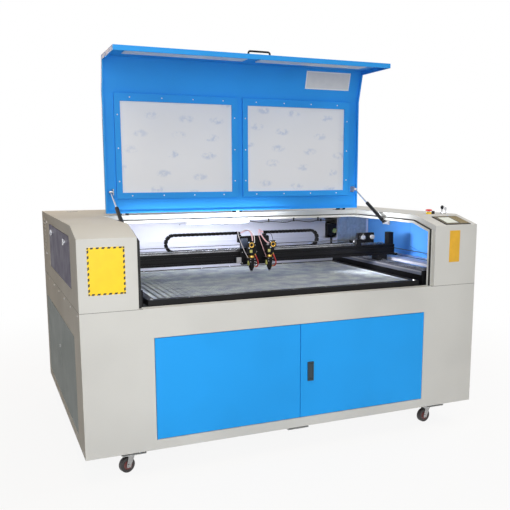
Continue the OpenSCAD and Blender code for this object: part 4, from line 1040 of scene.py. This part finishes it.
# switches on top of the right pod; profiles are (radius, height), the spare key is an outline
switches = {
    "y": -457, "stop": 793, "knob": 819, "key": 872, "start": 900,
    "barrel": 7, "deep": -25, "shank": 4,
    # housing: place, radius, height, finish, radius of the mouth, depth of the mouth
    "housings": (("stop", 13, 10, 0, 10.4, 5.5), ("key", 11, 8, 1, 6.4, 2), ("start", 9, 5, 1, 6.4, 2)),
    "knobFoot": [(0, 0), (8, 0), (8, 2), (7, 3), (0, 3)],
    "stopCap": [(0, 12.5), (6, 12.5), (9, 14.9), (15.4, 15.7), (16.5, 16.9), (16.5, 18.9), (15.6, 20.9),
                (13, 22.7), (8, 23.7), (0, 24)],
    "startCap": [(0, 8.5), (5.4, 8.5), (6, 9), (6, 11.1), (5.2, 11.9), (3, 11.6), (0, 11.4)],
    "plug": [(0, -20), (4, -20), (4, 9.4), (3.4, 10), (0, 10)],
    "bow": [(2.2, -3.4), (6, -4.2), (9, -3), (10, 0), (9, 3), (6, 4.2), (2.2, 3.4)],
    "spareKey": [(-7, 0), (-5, -7), (5, -7), (7, 0), (5, 6), (2.2, 8), (2.2, 15), (-2.2, 15),
                 (-2.2, 8), (-5, 6)],
}


def makeSwitches():
    y, barrel, deep, shank = [switches[name] for name in ("y", "barrel", "deep", "shank")]
    stopAt, knobAt, keyAt, startAt = [(switches[name], y, topZ) for name in ("stop", "knob", "key", "start")]
    piece = Piece("switchHousings", "cabinet", "switchYellow", "chrome", "blackPlastic", "turnedSteel")
    for name, radius, high, finish, mouth, sunk in switches["housings"]:
        outline = [(shank + 0.1, deep), (barrel, deep), (barrel, 0), (radius, 0), (radius, high - 1.4),
                   (radius - 1.6, high), (mouth, high), (mouth - 0.6, high - sunk),
                   (shank + 0.1, high - sunk)]
        place = (switches[name], y, topZ)
        piece.turned(outline, place, up, 36, finish, True)
        piece.turned(tube(barrel, barrel + 4, -8, -4), place, up, 6, 3, True)      # its nut
    bm = bmesh.new()      # fluted knob with a raised pointer
    bmesh.ops.create_cone(bm, cap_ends=True, segments=36, radius1=8, radius2=7, depth=11,
                          matrix=moved(0, 0, 8.5))
    for vert in bm.verts:
        if round(math.degrees(math.atan2(vert.co.y, vert.co.x))) % 30 < 5:
            vert.co.xy *= 0.9
    piece.stamp(asShape(bm), moved(*knobAt), 2)
    piece.turned(switches["knobFoot"], knobAt, finish=2)
    piece.box((-0.7, -7, 13.6), (0.7, 0, 14), 0, 0, moved(*knobAt))
    piece.turned(rod(barrel, deep, 0), knobAt, up, 24, 2)
    piece.done(replaces=["switch_housings"])

    for name, body, node, place, finishName, cap, count, high in (
            ("stopHead", "stop", "stop_button", stopAt, "stopRed", "stopCap", 48, 15),
            ("startHead", "start", "start_button", startAt, "chrome", "startCap", 28, 9)):
        piece = Piece(name, body, finishName, "turnedSteel")
        piece.turned(switches[cap], place, count=count)
        piece.turned(rod(shank, -20, high), place, up, 20, 1)
        piece.done(replaces=[node])

    piece = Piece("keyAndPlug", "key_switch", "turnedSteel", "blackPlastic", "chrome")
    atKey = moved(*keyAt)
    piece.turned(switches["plug"], keyAt, count=24)
    piece.box((-0.9, -3.4, 9), (0.9, 3.4, 22), 0.3, 2, atKey)
    piece.stamp(turnedShape(switches["bow"], 36, True), atKey @ moved(0, 0, 31) @ turnedTo((1, 0, 0)), 1)
    piece.stamp(turnedShape(tube(8.2, 9.4, -0.6, 0.6), 32, True), atKey @ moved(9, 0, 28) @ spun(75, "X"), 2)
    piece.stamp(drawnShape(switches["spareKey"], 1.6, 0.3),
                atKey @ moved(19, -1, 24) @ spun(168, "Y") @ spun(90, "X"))
    piece.done(replaces=["key"])


# lid handle: a bent bar with a foot at each end, drawn with the lid closed
handle = {"x": -12.5, "z": 720, "reach": 17, "radius": 4.5, "half": 53, "corner": 9,
          "foot": [(0, 0), (6.5, 0), (6.5, 1.4), (5.3, 2.6), (4.5, 4), (0, 4)],
          "screw": (3.6, 2, 6), "sheet": 2}      # sheet: thickness that the screws go through


def makeHandle():
    corner, half, reach = handle["corner"], handle["half"], handle["reach"]
    points = [(-half, 0, 0)]
    for side in (-1, 1):
        arc = [(side * (half - corner + x), corner - reach - y, 0)
               for x, y in [onCircle(corner, angle) for angle in steps(0, 90, 9)]]
        points += arc if side < 0 else arc[::-1]
    points.append((half, 0, 0))
    piece = Piece("lidHandle", "lid", "handlePlastic", "turnedSteel")
    x, z = handle["x"], handle["z"]
    bar = newObject("bar", roundCurve("bar", points, handle["radius"], 5))
    bm = bmesh.new()
    bm.from_mesh(bpy.data.meshes.new_from_object(bar))
    bpy.data.objects.remove(bar)
    piece.stamp(asShape(bm), moved(x, frontY, z))
    for side in (-1, 1):
        piece.turned(handle["foot"], (x + side * half, frontY, z), forward, 24)
    piece.screws(handle["screw"], (x - half, x + half), (frontY + handle["sheet"],), (z,), rearward, 1)
    piece.done(openLid, replaces=["lid_handle"])


# plain coloured plates stuck on the sheet metal; the yellow one has a border of slanting dashes
plates = {
    "thick": 0.6,
    "yellow": ((-888, 754), (-746, 937)),
    "band": 6.5,              # width of the border
    "margin": 0.4,
    "dashes": (6, 8),         # across and up
    "dash": (0.22, 0.52),     # start and length as shares of the spacing
    "lean": 0.55,             # share of the border's width
    "ink": 0.14,
    "amber": ((769, 796), (828, 944)),
    "amberInset": 5,
    "amberPanels": ((801, 896), (901, 939)),
    "white": ((357, 14), (615, 104)),
    "whiteInset": 6,
}


def makePlates():
    thick, band, margin = plates["thick"], plates["band"], plates["margin"]
    (x1, z1), (x2, z2) = plates["yellow"]
    wide, high = x2 - x1, z2 - z1
    piece = Piece("yellowPlate", "cabinet", "plateYellow", "plateBlack")
    upright = moved(x1, frontY, z1) @ spun(90, "X")
    piece.box((0, 0, 0), (wide, high, thick), 0.2, 0, upright)
    across, along = plates["dashes"]
    lean, (before, share) = band * plates["lean"], plates["dash"]
    for count, size, far, level in ((across, wide, high, True), (along, high, wide, False)):
        pitch = (size - 2 * band) / count
        length = pitch * share
        for i, at in product(range(count), (margin, far - band - margin)):
            start = band + pitch * (i + before)
            if level:
                points = [(start, at), (start + length, at), (start + length + lean, at + band),
                          (start + lean, at + band)]
            else:
                points = [(at, start), (at + band, start + lean), (at + band, start + length + lean),
                          (at, start + length)]
            points = [(min(max(a, margin), wide - margin), min(max(b, margin), high - margin))
                      for a, b in points]
            piece.stamp(drawnShape(points, plates["ink"]), upright @ moved(0, 0, thick), 1)
    for z, x in product((margin, high - band - margin), (margin, wide - band - margin)):      # corners
        piece.box((x, z, thick - 0.1), (x + band, z + band, thick + plates["ink"]), 0, 1, upright)
    piece.done()

    (x1, z1), (x2, z2), inset = *plates["amber"], plates["amberInset"]
    piece = Piece("amberPlate", "cabinet", "plateAmber", "plateYellow")
    piece.box((x1, frontY - thick, z1), (x2, frontY, z2), 0.2)
    for low, high in plates["amberPanels"]:
        piece.box((x1 + inset, frontY - thick - 0.12, low), (x2 - inset, frontY - thick + 0.1, high))
    piece.done()

    (x1, y1), (x2, y2), inset = *plates["white"], plates["whiteInset"]
    piece = Piece("lidPlate", "lid", "plateWhite", "plateGrey")
    piece.box((x1, y1, -2.9), (x2, y2, -2), 0.2)
    piece.box((x1 + inset, y1 + inset, -3), (x2 - inset, y2 - inset, -2.8), 0, 1)
    piece.done(openLid @ slopeTop)


# screws, bolts and rivets; each row is a size and the places along x, y and z, and their way
small, medium, large = (3.2, 1.6), (4.2, 2.2), (6, 4, 6)
screws = {
    "window": (-632.5, 10.5),      # left edges of the window frames
    "deck": (
        (medium, [x + dx for x in (-601.5, -14.5, 592.5) for dx in (-16, 0, 16)], (99,), (1012,)),
        (small, (-699.5, 690.5), steps(-570, 180, 16), (765.5,)),                     # guide rails
        (large, (-758, -706, 706, 758), (-603, -551, 551, 603), (86,), down),         # caster plates
        (small, (leftX,), steps(-610, 610, 7), (122, 672), (-1, 0, 0)),               # side panels
        (small, (rightX - 1.5,), steps(-610, 610, 7), (122, 672), (1, 0, 0)),
        (small, steps(-880, 880, 9), (backY,), (122, 672, 990), rearward),            # rear panel
        (small, (-905, 905), (backY,), steps(230, 560, 4), rearward),
        (medium, (leftX,), (404,), (967,), (-1, 0, 0)),                               # left pod
        (medium, (leftX,), (475,), (798,), (-1, 0, 0)),
        (large, (-634, 618), (-594,), (711,)),                                        # bed frame
        (small, steps(-634, 625, 9), (-596, 216), (711,))),
    "collars": (-500, 500),
    "collarZ": 405,
    "collarRadius": 86,
}


def makeScrews():
    piece = Piece("frameScrews", "lid", "wireWhite")
    for x in screws["window"]:
        piece.screws(small, steps(x + 74, x + 539, 4), (-478, -18), (994,), down)
        piece.screws(small, (x + 14, x + 599), (-396, -241, -86), (994,), down)
    piece.done(openLid)
    piece = Piece("deckScrews", "cabinet", "turnedSteel", "zincPlate")
    for row in screws["deck"]:
        piece.screws(*row)
    for x, i in product(screws["collars"], range(8)):
        dx, dz = onCircle(screws["collarRadius"], 22.5 + 45 * i)
        piece.screws(medium, (x + dx,), (backY + 3,), (screws["collarZ"] + dz,), rearward)
    piece.done()


# pressed louvres in the outer side of the left pod, with a black strip under each as painted shade in its
# opening, and a black shape on the pod's top as painted shade of a slot
louvres = {"y": (503, 603), "low": 797, "pitch": 19, "count": 10, "proud": 2.5, "high": 11,
           "hood": [(0, 11), (0.9, 10.6), (2.1, 2.6), (2.5, 1), (2.5, 0), (1.7, 0), (1.3, 1.6), (0, 2)],
           "slot": [(-811, 513), (-756, 513), (-756, 533), (-811, 533)]}


def makeLouvres():
    (y1, y2), out, high = louvres["y"], louvres["proud"], louvres["high"]
    shape = drawnShape(louvres["hood"], y2 - y1)
    turn = Matrix(((-1, 0, 0, 0), (0, 0, 1, 0), (0, 1, 0, 0), (0, 0, 0, 1)))
    piece = Piece("podLouvres", "cabinet", "bodyPaint", "plateBlack")
    for i in range(louvres["count"]):
        z = louvres["low"] + louvres["pitch"] * i
        piece.stamp(shape, moved(leftX, y1, z) @ turn)
        for y in (y1 - 1.6, y2):
            piece.box((leftX - out, y, z), (leftX, y + 1.6, z + high * 0.8), 0.7)
        # painted shade in the louvre's opening
        piece.box((leftX - 0.2, y1, z - 1.6), (leftX, y2, z + 1.6), 0, 1)
    # painted shade of the slot in the pod's top
    piece.stamp(drawnShape(louvres["slot"], 1.6, 0.5), moved(0, 0, topZ - 0.4), 1)
    piece.done()


# caster wheels and swivel races, each drawn in its fork's own frame
casters = {
    "places": ((-732, -577, 200), (732, -577, 188), (-732, 577, 20), (732, 577, -25)),      # x, y, turn
    "trail": 22,
    "radius": 32.5,
    "tread": [(20, -10.5), (24, -12), (29, -12), (31.6, -10.6), (32.5, -8), (32.5, 8), (31.6, 10.6),
              (29, 12), (24, 12), (20, 10.5)],
    "hub": [(5.3, -12), (9, -12), (10, -8), (13, -7.2), (18, -7.8), (20, -9.5), (20, 9.5), (18, 7.8),
            (13, 7.2), (10, 8), (9, 12), (5.3, 12)],
    "race": [(14, 78.6), (20, 78.6), (22.6, 80.4), (22.6, 82.6), (21, 84), (14, 84)],
}


def makeCasters():
    trail, radius = casters["trail"], casters["radius"]
    centre = (trail, 0, radius)
    for i, (x, y, turn) in enumerate(casters["places"], 1):
        frameOf = moved(x, y, 0) @ spun(turn, "Z")
        wheel = Piece("casterTyre%d" % i, "wheel_%d" % i, "treadGrey", "hubMaroon", "turnedSteel")
        race = Piece("casterRace%d" % i, "fork_%d" % i, "casterZinc", "turnedSteel")
        wheel.turned(casters["tread"], centre, rearward, 48, 0, True)
        wheel.turned(casters["hub"], centre, rearward, 40, 1, True)
        race.turned(casters["race"], (0, 0, 0), up, 40, 0, True)
        for side in (-1, 1):
            wheel.turned(tube(5.3, 8.4, 0, 1), (trail, side * 11.6, radius), (0, side, 0), 24, 2, True)
            race.screws((7, 3, 6), (trail,), (side * 15.5,), (radius,), (0, side, 0), 1)
        wheel.done(frameOf, replaces=["caster_wheel_%d" % i])
        race.done(frameOf)


# lock of the left side door, painted light and a painted gleam on the guides, ring of the beam's mirror,
# rear wall
inside = {
    "lockFace": [(0, 0), (6.4, 0), (7, 0.5), (7, 1.2), (6, 1.8), (0, 1.8)],
    "lockAt": (leftX, 59, 400),
    "lock": (((leftX - 1.9, 58.2, 395), (leftX - 1.6, 59.8, 405), 0, 1),
             ((leftX + 4, 51, 286), (leftX + 7, 67, 390), 0.8)),
    "guides": ((-674.5, 1), (665.5, -1)),
    # a lighter band as painted light on each guide's inner side, and a satin silver line on it as a painted
    # gleam
    "litBands": ((0.5, 731, 753, 0), (0.9, 744, 750, 1)),      # thickness, low, high, finish
    "ringAt": (588.5, -175, 880),
    "ring": [(13, 0), (19, 0), (20, 1), (20, 5), (18.6, 6.4), (14.4, 6.4), (13, 5)],
    "wall": (((696, 284, 770), (888, 287.8, 1002), 0.6),    # ribbed sheet
             *[((x - 2.2, 281.6, 778), (x + 2.2, 284.6, 994), 1) for x in steps(710, 874, 9)],
             ((-100, 285, 961), (610, 287.8, 967), 0.8)),
}


def makeInside():
    piece = Piece("sideDoorLock", "left_service_door", "chrome", "blackPlastic")
    piece.turned(inside["lockFace"], inside["lockAt"], (-1, 0, 0), 28)
    piece.boxes(inside["lock"])
    piece.done()

    piece = Piece("guideLitBands", "cabinet", "anodisedGrey", "satinSilver")
    for (x, way), (thick, low, high, finish) in product(inside["guides"], inside["litBands"]):
        piece.box((x, -590, low), (x + way * thick, 284, high), 0.2, finish)
    piece.done()

    piece = Piece("mirrorMount", "gantry", "blackAnodised", "chrome")
    x, y, z = place = inside["ringAt"]
    piece.turned(inside["ring"], place, forward, 40, 0, True)
    piece.turned(tube(11.4, 13, 0, 7.4), place, forward, 36, 1, True)
    for i in range(3):
        dx, dz = onCircle(16.4, 90 + 120 * i)
        piece.screws((2.2, 2), (x + dx,), (y - 6.4,), (z + dz,), forward, 1)
    piece.done()

    piece = Piece("rearWallFittings", "cabinet", "zincPlate", "blackPlastic", "turnedSteel")
    piece.boxes(inside["wall"])
    piece.screws((3.4, 1.6), (701, 884), (bulkheadY - 4,), (790, 985), forward, 2)
    piece.screws((3.4, 1.6), (-560, -260, 40, 340), (bulkheadY,), (940,), forward, 2)
    piece.done()


# painted shade: thin dark strips, just proud of the sheet, stand for the shade in the joints and the folds
seams = {"proud": 0.12, "half": 0.7, "wallX": 905.5,
         "folds": ([(-144, 818), (-142, 818), (-142, 980), (-144, 980)],
                   [(-143, 817), (-340, 774), (-340, 776), (-143, 819)])}


def makeSeams():
    piece = Piece("seamShadeStrips", "cabinet", "sealRubber", "linerShade")
    out, low, high = seams["proud"], seamZ - seams["half"], seamZ + seams["half"]
    # black strips as painted shade in the joints round the cabinet
    for x1, y1, x2, y2 in ((leftX, frontY - out, openLeft + 16, frontY + 1),
                           (openRight - 16, frontY - out, rightX, frontY + 1),
                           (leftX, frontY, leftX - out, backY), (rightX, frontY, rightX + out, backY),
                           (leftX, backY - 1, rightX, backY + out)):
        piece.box((x1, y1, low), (x2, y2, high))
    # painted shade of the folds in the right inner wall, in the darker liner blue
    for fold in seams["folds"]:      # right inner wall
        piece.stamp(drawnShape(fold, out), moved(seams["wallX"] - out, 0, 0) @ alongX, 1)
    piece.done()


# brackets and screws at the lower ends of the gas struts
strutCaps = {"inset": 15, "thick": 3, "y": (-298, -234), "z": (950, 969), "screw": (3.2, 2.4),
             "screwsY": (-290, -242), "screwsZ": 959}


def makeStrutCaps():
    piece = Piece("strutCaps", "cabinet", "satinSilver", "turnedSteel")
    (y1, y2), (z1, z2), inset = strutCaps["y"], strutCaps["z"], strutCaps["inset"]
    for x, way in ((openLeft + inset, 1), (openRight - inset, -1)):
        face = x + way * strutCaps["thick"]
        piece.box((x, y1, z1), (face, y2, z2), 0.8)
        piece.screws(strutCaps["screw"], (face,), strutCaps["screwsY"], (strutCaps["screwsZ"],),
                     (way, 0, 0), 1)
    piece.done()


makeSeams()
makeStrutCaps()
makeControlUnit()
makeSwitches()
makeHandle()
makePlates()
makeScrews()
makeLouvres()
makeCasters()
makeInside()
print("controls, handle, plates, screws, louvres, wheels and wall fittings made")
